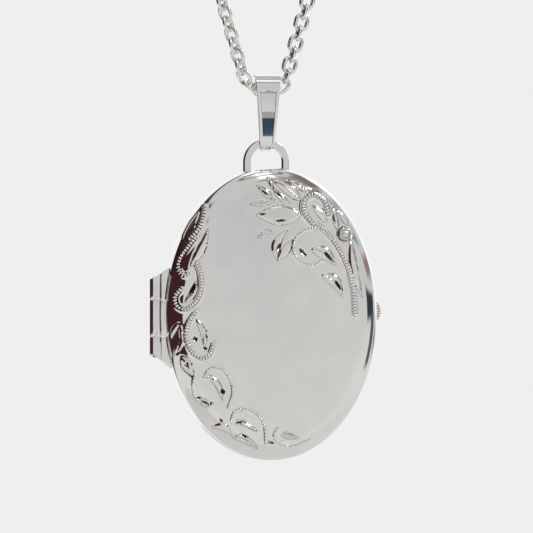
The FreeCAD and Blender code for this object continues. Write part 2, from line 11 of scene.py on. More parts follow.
import bmesh
import bpy
import numpy as np
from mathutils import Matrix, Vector


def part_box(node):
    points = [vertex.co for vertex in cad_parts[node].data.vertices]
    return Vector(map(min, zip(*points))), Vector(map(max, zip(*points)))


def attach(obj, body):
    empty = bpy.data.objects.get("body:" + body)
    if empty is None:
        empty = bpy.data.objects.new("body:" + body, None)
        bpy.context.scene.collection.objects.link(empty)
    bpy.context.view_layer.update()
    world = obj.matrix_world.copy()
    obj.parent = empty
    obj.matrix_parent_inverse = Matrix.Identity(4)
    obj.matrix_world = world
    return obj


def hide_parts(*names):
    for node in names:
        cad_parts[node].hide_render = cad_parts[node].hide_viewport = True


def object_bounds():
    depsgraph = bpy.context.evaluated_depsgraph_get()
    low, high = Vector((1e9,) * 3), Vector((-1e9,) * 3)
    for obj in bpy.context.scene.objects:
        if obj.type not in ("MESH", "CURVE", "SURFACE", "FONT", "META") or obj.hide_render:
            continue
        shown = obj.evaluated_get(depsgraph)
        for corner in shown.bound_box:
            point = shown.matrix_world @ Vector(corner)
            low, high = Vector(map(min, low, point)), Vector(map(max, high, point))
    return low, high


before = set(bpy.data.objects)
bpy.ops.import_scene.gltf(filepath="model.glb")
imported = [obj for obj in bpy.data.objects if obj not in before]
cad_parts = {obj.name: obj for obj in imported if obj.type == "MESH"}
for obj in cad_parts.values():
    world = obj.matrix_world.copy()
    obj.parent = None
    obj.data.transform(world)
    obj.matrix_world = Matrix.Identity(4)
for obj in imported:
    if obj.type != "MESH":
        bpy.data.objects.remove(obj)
cad_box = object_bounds()
print("CAD box", cad_box)

# %% [markdown]
# ## Working units
#
# Everything on a locket is a millimetre or less, so the pieces are drawn in millimetres from the
# centre of the case: X to the catch, Y to the back with 0 on the seam, Z up. One function turns
# such a point into metres in the shared frame. The case's own size is read from the CAD boxes.

# %% Millimetres from the centre of the case
MM = 0.001
back_low, back_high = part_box("back_cover")
front_low, front_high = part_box("front_cover")
CENTRE = Vector(
    (
        (back_low.x + back_high.x) / 2,
        (back_low.y + front_high.y) / 2,
        (back_low.z + back_high.z) / 2,
    )
)
HALF_WIDTH = (back_high.x - back_low.x) / 2 / MM
HALF_HEIGHT = (back_high.z - back_low.z) / 2 / MM
HALF_DEPTH = (back_high.y - CENTRE.y) / MM
SEAM_GAP = (back_low.y - CENTRE.y) / MM


def to_frame(points):
    """Millimetres from the case's centre to metres in the shared frame."""
    return np.asarray(points, float) * MM + np.array(CENTRE)


def box_mm(node):
    """A CAD node's two corners in millimetres from the case's centre."""
    low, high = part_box(node)
    return (low - CENTRE) / MM, (high - CENTRE) / MM


print(f"case {2 * HALF_WIDTH:.1f} x {2 * HALF_HEIGHT:.1f} x {2 * HALF_DEPTH:.1f} mm")

# %% [markdown]
# ## Camera
#
# A long lens far away, a little to the hinge side, so that the back shell and the hinge show as
# slivers on the left and the far edge turns out of sight.

# %% Camera
VIEW_TURN = math.radians(10)
VIEW_WIDTH = 53.3 * MM
VIEW_DISTANCE = 0.75
VIEW_AIM = (-0.35, 0.0, 4.75)


def make_camera():
    data = bpy.data.cameras.new("camera")
    data.sensor_width = 36
    data.lens = data.sensor_width * VIEW_DISTANCE / VIEW_WIDTH
    data.clip_start = 0.01
    camera = bpy.data.objects.new("camera", data)
    aim = Vector(to_frame(VIEW_AIM))
    backwards = Vector((-math.sin(VIEW_TURN), -math.cos(VIEW_TURN), 0))
    camera.location = aim + backwards * VIEW_DISTANCE
    camera.rotation_euler = (-backwards).to_track_quat("-Z", "Y").to_euler()
    bpy.context.scene.collection.objects.link(camera)
    bpy.context.scene.camera = camera
    print(f"camera: {data.lens:.0f} mm lens, {VIEW_DISTANCE} m away")


make_camera()

# %% [markdown]
# ## Shader maths as plain expressions
#
# Polished silver is mostly its surroundings, so its material is small variations: a breath of roughness,
# hairline scratches and a painted dark in the cuts that stands for both their shade and their tarnish. To
# write these as formulas, one class wraps a socket and lets Python's operators add the Math nodes.

# %% A socket that understands arithmetic
class Value:
    """A shader socket. Arithmetic on it adds Math nodes; smooth() is a soft step between two levels."""

    def __init__(self, graph, socket):
        self.graph = graph
        self.socket = socket

    def __add__(self, other):
        return self.graph.math("ADD", self, other)

    def __radd__(self, other):
        return self.graph.math("ADD", other, self)

    def __sub__(self, other):
        return self.graph.math("SUBTRACT", self, other)

    def __rsub__(self, other):
        return self.graph.math("SUBTRACT", other, self)

    def __mul__(self, other):
        return self.graph.math("MULTIPLY", self, other)

    def __rmul__(self, other):
        return self.graph.math("MULTIPLY", other, self)

    def __truediv__(self, other):
        return self.graph.math("DIVIDE", self, other)

    def smooth(self, low, high):
        settings = {"interpolation_type": "SMOOTHSTEP"}
        inputs = {"Value": self, "From Min": low, "From Max": high, "To Min": 0.0, "To Max": 1.0}
        return self.graph.node("ShaderNodeMapRange", settings, inputs)

    def window(self, low, high, soft):
        """1 between low and high, falling to 0 over soft on each side."""
        return self.smooth(low - soft, low + soft) * (1 - self.smooth(high - soft, high + soft))


class Graph:
    """The node tree of a material or of the world, with one way to add any node."""

    def __init__(self, tree):
        self.tree = tree
        tree.nodes.clear()

    def node(self, kind, settings=None, inputs=None, output=0):
        made = self.tree.nodes.new(kind)
        for name, value in (settings or {}).items():
            setattr(made, name, value)
        for key, value in (inputs or {}).items():
            socket = made.inputs[key]
            if isinstance(value, Value):
                self.tree.links.new(value.socket, socket)
            else:
                socket.default_value = value
        return Value(self, made.outputs[output]) if made.outputs else None

    def math(self, operation, *inputs):
        return self.node("ShaderNodeMath", {"operation": operation}, dict(enumerate(inputs)))

    def blend(self, factor, dark, light):
        """A colour between two, by a factor."""
        settings = {"data_type": "RGBA"}
        return self.node("ShaderNodeMix", settings, {0: factor, 6: dark, 7: light}, 2)


# %% [markdown]
# ## Metals
#
# Two things separate the silvers here: how smooth they are and how much dark is painted into their recesses.
# Scratches come from stretched noise, much finer than a millimetre. An attribute, painted while a mesh is
# made, says where a cut or a groove gets this painted dark, which stands for both the shade in the hollow
# and its tarnish.

# %% Silver in several finishes
def rgba(red, green, blue):
    return (red, green, blue, 1.0)


def make_metal(name, tint, roughness, scratch=0.03, grain=(1, 1, 1), shade_and_tarnish_tint=None):
    """Polished metal; grain stretches the scratches, and shade_and_tarnish_tint is the colour of the painted
    shade and tarnish in the cuts.
    """
    material = bpy.data.materials.new(name)
    material.use_nodes = True
    graph = Graph(material.node_tree)
    place = graph.node("ShaderNodeTexCoord", output=3)
    stretched = graph.node("ShaderNodeMapping", inputs={"Vector": place, "Scale": [900 * g for g in grain]})
    cloud = graph.node("ShaderNodeTexNoise", inputs={"Vector": place, "Scale": 420.0, "Detail": 2.0})
    hairs = graph.node(
        "ShaderNodeTexNoise", inputs={"Vector": stretched, "Scale": 6.0, "Detail": 3.0, "Roughness": 0.6}
    )
    colour = graph.blend(cloud.smooth(0.35, 0.7), rgba(*[c * 0.96 for c in tint]), rgba(*tint))
    wear = cloud.smooth(0.4, 0.75) * scratch * 0.5 + hairs.smooth(0.55, 0.8) * scratch + roughness
    # Painted shade and tarnish: a dark colour is blended in where the mesh's attribute marks a cut or a
    # groove.
    if shade_and_tarnish_tint:
        shade_and_tarnish = graph.node("ShaderNodeAttribute", {"attribute_name": "shade_and_tarnish"}, output=2)
        colour = graph.blend(shade_and_tarnish.smooth(0.05, 0.95), colour, rgba(*shade_and_tarnish_tint))
        wear = wear + shade_and_tarnish * 0.12
    height = {"Height": hairs * 0.12, "Strength": 0.05, "Distance": 0.02 * MM}
    bump = graph.node("ShaderNodeBump", inputs=height)
    shader = graph.node(
        "ShaderNodeBsdfPrincipled",
        inputs={"Base Color": colour, "Metallic": 1.0, "Roughness": wear, "Normal": bump},
    )
    graph.node("ShaderNodeOutputMaterial", inputs={"Surface": shader})
    return material


SILVER = (0.95, 0.94, 0.925)
# The dark painted into cuts and grooves, standing for both their shade and their tarnish.
SHADE_AND_TARNISH_DARK = (0.13, 0.11, 0.11)
cover_silver = make_metal("cover_silver", SILVER, 0.035, 0.015, (1, 1, 0.1), SHADE_AND_TARNISH_DARK)
back_silver = make_metal("back_silver", SILVER, 0.05, 0.03, (0.1, 1, 1))
# The beads and the knuckles have satin versions of their neighbours' silver, under the same material names.
bead_silver = make_metal("cover_silver", (0.97, 0.965, 0.95), 0.18, 0.03)
rim_silver = make_metal("rim_silver", (0.86, 0.85, 0.83), 0.22, 0.12, (1, 0.2, 1))
frame_silver = make_metal("frame_silver", SILVER, 0.09, 0.06, (1, 0.2, 1), SHADE_AND_TARNISH_DARK)
fitting_silver = make_metal("fitting_silver", SILVER, 0.09, 0.03, (1, 1, 0.15), SHADE_AND_TARNISH_DARK)
satin_silver = make_metal("fitting_silver", SILVER, 0.12, 0.06, (1, 1, 0.15), SHADE_AND_TARNISH_DARK)
pin_silver = make_metal("pin_silver", (0.84, 0.83, 0.81), 0.14, 0.1, (1, 1, 0.05))
bail_silver = make_metal("bail_silver", SILVER, 0.035, 0.015, (1, 1, 0.1))
chain_silver = make_metal("chain_silver", (0.97, 0.96, 0.94), 0.1, 0.05)
clasp_silver = make_metal("clasp_silver", SILVER, 0.06, 0.04, (1, 0.3, 1), SHADE_AND_TARNISH_DARK)
spring_steel = make_metal("spring_steel", (0.52, 0.52, 0.53), 0.28, 0.1)
print("metals ready")

# %% [markdown]
# The windows are clear acetate sheet, and the small stone is a cut crystal. The sheet lets nearly
# all light through. The stone is foiled behind, so most of its light is thrown back.

# %% Clear sheet and stone
def make_clear(name, tint, roughness, ior, haze, clearness=1.0):
    """A clear solid; haze is how much rougher its cloudy spots are."""
    material = bpy.data.materials.new(name)
    material.use_nodes = True
    graph = Graph(material.node_tree)
    place = graph.node("ShaderNodeTexCoord", output=3)
    cloud = graph.node("ShaderNodeTexNoise", inputs={"Vector": place, "Scale": 300.0, "Detail": 2.0})
    wear = cloud.smooth(0.5, 0.8) * haze + roughness
    colour = graph.blend(cloud.smooth(0.3, 0.8), rgba(*tint), rgba(*[c * 0.97 for c in tint]))
    shader = graph.node(
        "ShaderNodeBsdfPrincipled",
        inputs={"Base Color": colour, "Roughness": wear, "IOR": ior, "Transmission Weight": clearness},
    )
    graph.node("ShaderNodeOutputMaterial", inputs={"Surface": shader})
    return material


acetate = make_clear("acetate", (0.96, 0.97, 0.97), 0.04, 1.12, 0.08)
clear_stone = make_clear("clear_stone", (0.97, 0.98, 1.0), 0.01, 2.1, 0.01, 0.15)
print("clear materials ready")

# %% [markdown]
# ## Making a piece
#
# Every piece ends the same way: its points are turned into metres, its faces are smoothed except at real
# edges, it is parented to its body's empty and given its finish, and the CAD node it stands for is hidden.

# %% From points and faces to a finished piece
def new_mesh(name, points, faces):
    mesh = bpy.data.meshes.new(name)
    mesh.from_pydata([tuple(p) for p in to_frame(points)], [], faces)
    mesh.validate()
    return mesh


def tidy_mesh(mesh, sharp_angle):
    """Merges doubles, turns the faces outwards and smooths all but the real edges."""
    work = bmesh.new()
    work.from_mesh(mesh)
    bmesh.ops.remove_doubles(work, verts=work.verts, dist=0.0005 * MM)
    bmesh.ops.recalc_face_normals(work, faces=work.faces)
    work.to_mesh(mesh)
    work.free()
    mesh.shade_smooth()
    if sharp_angle:
        mesh.set_sharp_from_angle(angle=math.radians(sharp_angle))


def make_piece(name, mesh, body, finish, *nodes):
    piece = bpy.data.objects.new(name, mesh)
    bpy.context.scene.collection.objects.link(piece)
    mesh.materials.clear()
    mesh.materials.append(finish)
    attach(piece, body)
    if nodes:
        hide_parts(*nodes)
    print(f"{name}: {len(mesh.polygons)} faces")
    return piece


def loft(rings, closed_along=False, caps=True):
    """Faces between rings of equally many points; the ends are capped unless the rings close."""
    count = len(rings[0])
    points = [p for ring in rings for p in ring]
    faces = []
    spans = len(rings) if closed_along else len(rings) - 1
    for r in range(spans):
        a, b = r * count, ((r + 1) % len(rings)) * count
        for i in range(count):
            j = (i + 1) % count
            faces.append((a + i, a + j, b + j, b + i))
    if caps and not closed_along:
        faces.append(tuple(range(count))[::-1])
        faces.append(tuple(range((len(rings) - 1) * count, len(rings) * count)))
    return points, faces


# %% [markdown]
# ## What repeats: a Geometry Nodes tree
#
# Chain links, milgrain beads and rope ridges are all "one shape along a line". One tree does it:
# resample the line, turn an instance to the line's direction, roll every second one by a set
# angle, and realise the result as real mesh. A twist can be added that comes in at the start of
# the line and goes out again by TWIST_END, each over TWIST_RISE of its length.

# %% A tree that sets a shape along lines
TWIST_RISE = 0.1
TWIST_END = 0.5


def along_lines_tree():
    tree = bpy.data.node_groups.new("shape_along_lines", "GeometryNodeTree")
    sockets = (
        ("Geometry", "INPUT", "Geometry"),
        ("Shape", "INPUT", "Object"),
        ("Spacing", "INPUT", "Float"),
        ("Alternate Roll", "INPUT", "Float"),
        ("Twist", "INPUT", "Float"),
        ("Finish", "INPUT", "Material"),
        ("Geometry", "OUTPUT", "Geometry"),
    )
    for name, in_out, kind in sockets:
        tree.interface.new_socket(name, in_out=in_out, socket_type=f"NodeSocket{kind}")

    def add(kind, inputs=None, **settings):
        """Adds a node and gives its first output; an input is a value or another node's output."""
        node = tree.nodes.new(kind)
        for name, value in settings.items():
            setattr(node, name, value)
        for key, value in (inputs or {}).items():
            if isinstance(value, bpy.types.NodeSocket):
                tree.links.new(value, node.inputs[key])
            else:
                node.inputs[key].default_value = value
        return node.outputs[0] if node.outputs else None

    def ramp(share, start, end):
        inputs = {"Value": share, "From Min": start, "From Max": end}
        return add("ShaderNodeMapRange", inputs, interpolation_type="SMOOTHSTEP")

    given = tree.nodes.new("NodeGroupInput").outputs
    curve = add("GeometryNodeMeshToCurve", {0: given["Geometry"]})
    points = add("GeometryNodeResampleCurve", {0: curve, "Length": given["Spacing"]}, mode="LENGTH")
    along = {"Vector": add("GeometryNodeInputTangent")}
    aim = add("FunctionNodeAlignRotationToVector", along, axis="X", pivot_axis="AUTO")

    share = add("GeometryNodeSplineParameter")
    come, go = ramp(share, 0.0, TWIST_RISE), ramp(share, TWIST_END, TWIST_END - TWIST_RISE)
    swell = add("ShaderNodeMath", {0: come, 1: go}, operation="MULTIPLY")
    twist = add("ShaderNodeMath", {0: swell, 1: given["Twist"]}, operation="MULTIPLY")
    odd = add("ShaderNodeMath", {0: add("GeometryNodeInputIndex"), 1: 2}, operation="MODULO")
    rolls = {0: odd, 1: given["Alternate Roll"], 2: twist}
    roll = add("ShaderNodeMath", rolls, operation="MULTIPLY_ADD")
    turn = add("FunctionNodeEulerToRotation", {0: add("ShaderNodeCombineXYZ", {"X": roll})})
    rotation = add("FunctionNodeRotateRotation", {0: aim, 1: turn}, rotation_space="LOCAL")

    pattern = tree.nodes.new("GeometryNodeObjectInfo")
    pattern.transform_space = "ORIGINAL"
    tree.links.new(given["Shape"], pattern.inputs[0])
    parts = {"Points": points, "Instance": pattern.outputs["Geometry"], "Rotation": rotation}
    real = add("GeometryNodeRealizeInstances", {0: add("GeometryNodeInstanceOnPoints", parts)})
    finished = add("GeometryNodeSetMaterial", {0: real, "Material": given["Finish"]})
    add("NodeGroupOutput", {0: finished})
    return tree


ALONG_LINES = along_lines_tree()
print(f"{ALONG_LINES.name}: {len(ALONG_LINES.nodes)} nodes")


def lines_mesh(name, lines):
    """Open polylines, given in metres, as a mesh of edges."""
    points, edges = [], []
    for line in lines:
        start = len(points)
        points += [tuple(p) for p in line]
        edges += [(start + i, start + i + 1) for i in range(len(line) - 1)]
    mesh = bpy.data.meshes.new(name)
    mesh.from_pydata(points, edges, [])
    return mesh


def set_along(name, lines, shape, spacing, finish, alternate_roll=0.0, twist=0.0):
    """Runs the tree on the lines and returns the plain mesh; shape is a mesh with X along the line."""
    pattern = bpy.data.objects.new(f"{name}_pattern", shape)
    bpy.context.scene.collection.objects.link(pattern)
    guide = bpy.data.objects.new(f"{name}_guide", lines_mesh(f"{name}_guide", lines))
    bpy.context.scene.collection.objects.link(guide)
    modifier = guide.modifiers.new("along", "NODES")
    modifier.node_group = ALONG_LINES
    sockets = {s.name: s.identifier for s in ALONG_LINES.interface.items_tree if s.in_out == "INPUT"}
    modifier[sockets["Shape"]] = pattern
    modifier[sockets["Spacing"]] = spacing
    modifier[sockets["Alternate Roll"]] = alternate_roll
    modifier[sockets["Twist"]] = twist
    modifier[sockets["Finish"]] = finish
    guide.update_tag()
    bpy.context.view_layer.update()
    evaluated = guide.evaluated_get(bpy.context.evaluated_depsgraph_get())
    mesh = bpy.data.meshes.new_from_object(evaluated)
    mesh.name = name
    bpy.data.objects.remove(guide)
    bpy.data.objects.remove(pattern)
    return mesh


# %% [markdown]
# ## The chain
#
# A cable chain is oval wire links, each turned a quarter from its neighbour. Its line is a smooth spline
# through listed points: two straight strands from the bail, and an arch above that closes in the clasp. The
# links are rounded wire with four flats cut on them, which is what makes such a chain glitter.

# %% The chain's line
CHAIN_ROUTE = [
    (-3.55, 38.28),
    (-4.93, 36.90),
    (-5.66, 34.05),
    (-4.80, 31.24),
    (-2.76, 24.38),
    (-2.41, 23.24),
    (-1.46, 22.48),
    (0.85, 22.46),
    (1.63, 23.20),
    (1.95, 24.35),
    (4.21, 32.49),
    (4.98, 35.25),
    (4.18, 38.00),
    (2.69, 39.50),
]
LOOP_Y = (box_mm("case_loop")[0].y + box_mm("case_loop")[1].y) / 2
LINK_COUNT = 35
LINK_LENGTH, LINK_WIDTH, LINK_WIRE = 1.94, 1.56, 0.4
STRAND_TWIST = 45


def read_route():
    """The route's own points, read from a spline with no bevel."""
    data = bpy.data.curves.new("chain_route", "CURVE")
    data.dimensions = "3D"
    data.resolution_u = 16
    spline = data.splines.new("NURBS")
    spline.points.add(len(CHAIN_ROUTE) - 1)
    for point, (x, z) in zip(spline.points, CHAIN_ROUTE):
        point.co = (*to_frame((x, LOOP_Y, z)), 1)
    spline.order_u = 3
    spline.use_endpoint_u = True
    route = bpy.data.objects.new("chain_route", data)
    bpy.context.scene.collection.objects.link(route)
    mesh = bpy.data.meshes.new_from_object(route.evaluated_get(bpy.context.evaluated_depsgraph_get()))
    points = [v.co.copy() for v in mesh.vertices]
    bpy.data.objects.remove(route)
    return points


chain_path = read_route()
chain_length = sum((b - a).length for a, b in zip(chain_path, chain_path[1:]))
print(f"chain line {chain_length / MM:.2f} mm in {len(chain_path)} points")


# %% One link and the whole chain
def link_mesh():
    """A link in the X-Z plane, long in X: a stadium of wire whose section has four cut flats."""
    wire = LINK_WIRE / 2
    bend = LINK_WIDTH / 2 - wire
    reach = LINK_LENGTH / 2 - wire - bend
    turns, sides, flatness = 28, 12, 0.07
    rings = []
    for i in range(turns):
        angle = 2 * math.pi * i / turns
        side = reach if math.cos(angle) > 0 else -reach
        if abs(math.cos(angle)) < 1e-6:
            side = 0
        ring = []
        for k in range(sides):
            around = 2 * math.pi * k / sides
            flat = 1 + flatness * math.cos(4 * around)
            out = bend + wire * flat * math.cos(around)
            ring.append(
                (
                    (side + out * math.cos(angle)) * MM,
                    wire * flat * math.sin(around) * MM,
                    out * math.sin(angle) * MM,
                )
            )
        rings.append(ring)
    points, faces = loft(rings, closed_along=True)
    mesh = bpy.data.meshes.new("link")
    mesh.from_pydata(points, [], faces)
    tidy_mesh(mesh, 0)
    return mesh


links = set_along(
    "chain_links",
    [chain_path],
    link_mesh(),
    chain_length / (LINK_COUNT - 1) * 0.9999,
    chain_silver,
    alternate_roll=math.pi / 2,
    twist=math.radians(STRAND_TWIST),
)
for polygon in links.polygons:
    polygon.use_smooth = True
chain = make_piece("chain", links, "chain", chain_silver, "chain_links")
print(f"chain: {LINK_COUNT} links, {chain_length / MM:.1f} mm")

# %% [markdown]
# ## The oval case
#
# Everything on the case is drawn from one outline: an ellipse set in by some distance. Sweeping a
# small profile round it gives the rims, the frames and the shells, so they all stay concentric.
# A cover is the same idea filled to the middle: the ellipses shrink to a point, which keeps the
# crown smooth all the way.

# %% Ovals and what is swept round them
def oval(inset, angles, to_point=False):
    """The outline set in by an inset; to_point makes it close at the middle of the case."""
    wide = HALF_WIDTH - inset
    tall = HALF_HEIGHT - inset
    if to_point:
        tall = tall - (HALF_HEIGHT - HALF_WIDTH) * (inset / HALF_WIDTH) ** 3
    return wide * np.cos(angles), tall * np.sin(angles)


def oval_ring(inset, depth, side, count, to_point=False):
    """One closed ring of points; side is -1 in the front half and 1 in the back half."""
    x, z = oval(inset, np.linspace(0, 2 * math.pi, count, endpoint=False), to_point)
    return np.stack([x, np.full(count, side * depth), z], axis=1)


def oval_piece(name, profile, side, body, finish, hollow=True):
    """Sweeps a profile of (inset, depth) pairs round the case: a hoop, or a plate if not hollow."""
    rings = [oval_ring(inset, depth, side, 300) for inset, depth in profile]
    mesh = new_mesh(name, *loft(rings, closed_along=hollow))
    tidy_mesh(mesh, 35)
    make_piece(f"{name}_metal" if hollow else f"{name}_sheet", mesh, body, finish, name)


# %% [markdown]
# ## The stamped shells
#
# A half is pressed from 0.4 mm sheet: an upright wall, a rounded shoulder and a face. The front
# face is crowned by a quarter of a millimetre so that it doesn't look dished; the back one stays
# flat for engraving. `face_depth` is how far the outside stands from the seam at any inset.

# %% The outside of a shell
SHOULDER = 1.9
SIDE_HEIGHT = HALF_DEPTH - SHOULDER
CROWN = 0.24


def face_depth(inset, crown):
    top = HALF_DEPTH - crown * (1 - np.asarray(inset, float) / HALF_WIDTH) ** 2
    share = np.clip(np.asarray(inset, float) / SHOULDER, 0, 1)
    return SIDE_HEIGHT + (top - SIDE_HEIGHT) * np.sqrt(1 - (1 - share) ** 2)


def inset_at(x, z):
    """The inset of the ring that passes through each point of the face, by halving."""
    low, high = np.zeros_like(x), np.full_like(x, HALF_WIDTH - 1e-3)
    for _ in range(30):
        middle = (low + high) / 2
        wide, tall = oval(middle, 0.0, True)[0], oval(middle, math.pi / 2, True)[1]
        outside = (x / wide) ** 2 + (z / tall) ** 2 > 1
        high = np.where(outside, middle, high)
        low = np.where(outside, low, middle)
    return (low + high) / 2


def shoulder_insets(count):
    """Insets that divide the rounded shoulder evenly along its curve."""
    return SHOULDER * (1 - np.cos(np.linspace(0, math.pi / 2, count)))


INSIDE = [(0.4, 0.9), (0.5, 1.4), (0.8, 1.85), (1.3, 2.15), (2.0, 2.28), (4.0, 2.3), (8.0, 2.34)]
INSIDE += [(HALF_WIDTH, 2.34)]
print(f"shoulder {SHOULDER} mm, side {SIDE_HEIGHT:.2f} mm, crown {CROWN} mm")

# %% [markdown]
# ## The vine
#
# The ornament is stamped and then touched up with a graver. It has three kinds of mark: stems,
# which are raised strips that carry a row of milgrain; leaves, which are low pillows with an
# engraved outline and sometimes a midrib; and bright cuts, short V grooves that catch the light.
#
# A stem is half its width and a few points with a smooth line through them. A leaf is its foot, its
# tip, half its width, how far it bends to the left of the line between them and whether it has a
# midrib. A cut is half its width and its two ends.

# %% Stems, leaves and cuts, in millimetres from the middle of the face
STEMS = {
    "main_stem": (
        0.33,
        [(4.3, 9.0), (5.3, 8.1), (6.2, 6.9), (7.0, 5.5), (7.6, 3.9), (8.0, 2.0), (8.15, -0.1)],
    ),
    "upper_loop": (
        0.4,
        [(3.9, 8.95), (3.1, 9.9), (2.9, 10.9), (3.4, 11.75), (4.3, 11.85), (5.1, 11.2), (5.4, 10.0)],
    ),
    "curl": (
        0.12,
        [(4.9, 5.4), (3.9, 4.9), (2.8, 5.15), (2.0, 6.0), (1.95, 7.1), (2.5, 8.0), (3.5, 8.5)]
        + [(4.7, 8.3), (5.6, 7.5)],
    ),
    "left_top": (0.3, [(-6.95, 10.7), (-7.15, 9.7), (-7.6, 8.5), (-8.45, 7.45)]),
    "left_hook": (0.33, [(-8.0, 7.55), (-8.7, 6.6), (-9.35, 5.6), (-9.6, 4.6), (-9.2, 3.85), (-8.75, 4.0)]),
    "left_scroll": (
        0.37,
        [(-7.85, 5.1), (-7.45, 3.9), (-7.4, 2.6), (-7.9, 1.3), (-8.9, 0.5), (-9.75, 0.8)]
        + [(-9.95, 1.7), (-9.5, 2.4)],
    ),
    "left_bowl": (
        0.32,
        [(-7.9, 0.3), (-8.65, -0.9), (-8.9, -2.3), (-8.4, -3.7), (-7.45, -4.4), (-6.55, -4.0)]
        + [(-6.15, -3.0)],
    ),
    "low_hook": (0.12, [(-8.05, -6.0), (-8.25, -7.4), (-7.85, -8.5), (-7.0, -9.2), (-6.3, -9.0)]),
    "low_arch": (
        0.12,
        [(-7.1, -6.2), (-6.5, -5.4), (-5.4, -5.5), (-4.5, -6.6), (-4.25, -7.9), (-4.7, -9.3)],
    ),
    "low_tip": (0.12, [(-7.1, -6.3), (-6.4, -6.4)]),
    "foot_arch": (
        0.12,
        [(-4.4, -10.6), (-4.0, -9.7), (-3.0, -9.4), (-1.8, -10.0), (-1.05, -11.2), (-0.9, -12.9)],
    ),
    "foot_tail": (0.12, [(0.3, -11.4), (-0.05, -12.1), (0.4, -12.9), (1.7, -13.2), (3.6, -12.5)]),
}

LEAVES = {
    "bud_small": ((0.0, 11.45), (-2.5, 10.95), 0.24, 0.12, True),
    "bud_tip": ((-0.25, 11.6), (-1.75, 12.8), 0.34, 0.0, True),
    "bud_sliver": ((-0.2, 12.5), (-0.6, 13.6), 0.12, 0.0, False),
    "crown_leaf": ((2.55, 11.4), (-0.2, 13.4), 0.55, -0.25, True),
    "under_leaf": ((1.4, 11.1), (-0.15, 12.6), 0.28, 0.1, True),
    "slope_leaf": ((3.3, 12.3), (1.4, 13.4), 0.3, -0.1, True),
    "long_leaf": ((2.6, 9.9), (-1.9, 9.9), 0.95, 0.05, False),
    "low_bud": ((-0.4, 8.4), (-1.8, 7.65), 0.26, 0.05, True),
    "cup_left": ((0.25, 5.4), (1.3, 8.35), 0.42, 0.62, False),
    "cup_right": ((0.3, 5.5), (1.75, 7.45), 0.42, -0.12, False),
    "seed_pod": ((5.3, 9.2), (3.85, 10.95), 0.34, -0.05, False),
    "heart_leaf": ((3.75, 6.5), (6.1, 4.95), 0.6, 0.4, True),
    "wing_leaf": ((4.8, 3.95), (6.8, 1.8), 0.55, 0.5, True),
    "spike_inner": ((6.45, 8.4), (5.85, 11.0), 0.26, 0.0, False),
    "spike_outer": ((7.45, 8.9), (6.45, 10.4), 0.24, -0.1, False),
    "long_pod": ((7.75, 7.3), (8.95, 1.7), 0.38, -0.25, False),
    "top_left_leaf": ((-9.1, 7.3), (-7.0, 10.8), 0.26, 0.0, False),
    "side_leaf": ((-8.5, 4.8), (-6.7, 8.6), 0.38, -0.25, False),
    "scroll_leaf": ((-9.0, 1.2), (-7.95, 3.4), 0.32, -0.25, True),
    "crescent_outer": ((-9.6, -0.9), (-10.3, -2.5), 0.2, -0.15, False),
    "crescent_inner": ((-9.6, -0.9), (-9.75, -3.9), 0.26, 0.45, False),
    "stem_leaf": ((-7.9, -0.5), (-7.1, -3.4), 0.3, 0.35, False),
    "oval_leaf": ((-9.4, -4.2), (-8.15, -6.1), 0.42, 0.0, False),
    "arch_leaf": ((-6.9, -6.0), (-5.3, -8.5), 0.3, 0.45, False),
    "hook_leaf": ((-7.9, -8.3), (-6.3, -9.1), 0.2, 0.1, False),
    "tip_leaf": ((-6.2, -11.2), (-4.35, -12.1), 0.35, 0.45, False),
    "foot_leaf": ((-4.2, -12.2), (-1.7, -13.4), 0.34, 0.3, True),
    "inner_leaf": ((-3.8, -10.6), (-1.8, -11.6), 0.2, 0.1, False),
    "tail_leaf": ((0.7, -12.0), (2.4, -12.35), 0.24, 0.0, True),
}

CUTS = [
    (0.09, (-1.6, 9.95), (-0.8, 10.0)),
    (0.12, (0.0, 9.25), (1.3, 9.4)),
    (0.15, (0.6, 7.1), (0.15, 6.2)),
    (0.15, (2.45, 6.6), (3.3, 5.7)),
    (0.16, (5.0, 6.3), (6.0, 5.1)),
    (0.14, (6.1, 3.4), (6.75, 2.4)),
    (0.09, (0.15, 12.2), (0.8, 11.6)),
    (0.09, (-1.4, 12.4), (-0.6, 11.8)),
    (0.13, (-8.0, 3.2), (-8.8, 1.5)),
    (0.19, (-8.1, -2.2), (-7.95, -2.75)),
    (0.14, (-7.2, -3.45), (-6.8, -3.35)),
    (0.12, (-8.9, -4.8), (-8.75, -5.0)),
    (0.19, (-5.35, -7.4), (-5.15, -8.0)),
    (0.13, (-5.55, -10.45), (-5.25, -10.65)),
    (0.08, (-3.4, -11.9), (-2.6, -12.4)),
    (0.08, (-7.4, -8.6), (-6.5, -9.0)),
    (0.1, (-6.45, -8.75), (-6.3, -9.0)),
    (0.08, (-4.0, -10.9), (-3.0, -10.6)),
]
STONE_LOW, STONE_HIGH = box_mm("accent_stone")
STONE_X = (STONE_LOW.x + STONE_HIGH.x) / 2
STONE_Z = (STONE_LOW.z + STONE_HIGH.z) / 2
print(f"vine: {len(STEMS)} stems, {len(LEAVES)} leaves, {len(CUTS)} cuts")


# %% [markdown]
# A relief is only a height for every point of the face. Each kind of mark has its own cross section: a
# flat-topped strip, a pillow, a V. Where marks overlap the highest one wins, and the cuts are taken out
# last, as a graver does. The same pass works out where dark is painted: shade and tarnish in the grooves,
# ribs and stem beds, the dark reflection and tarnish in the cuts, and shade in the stone's dish.

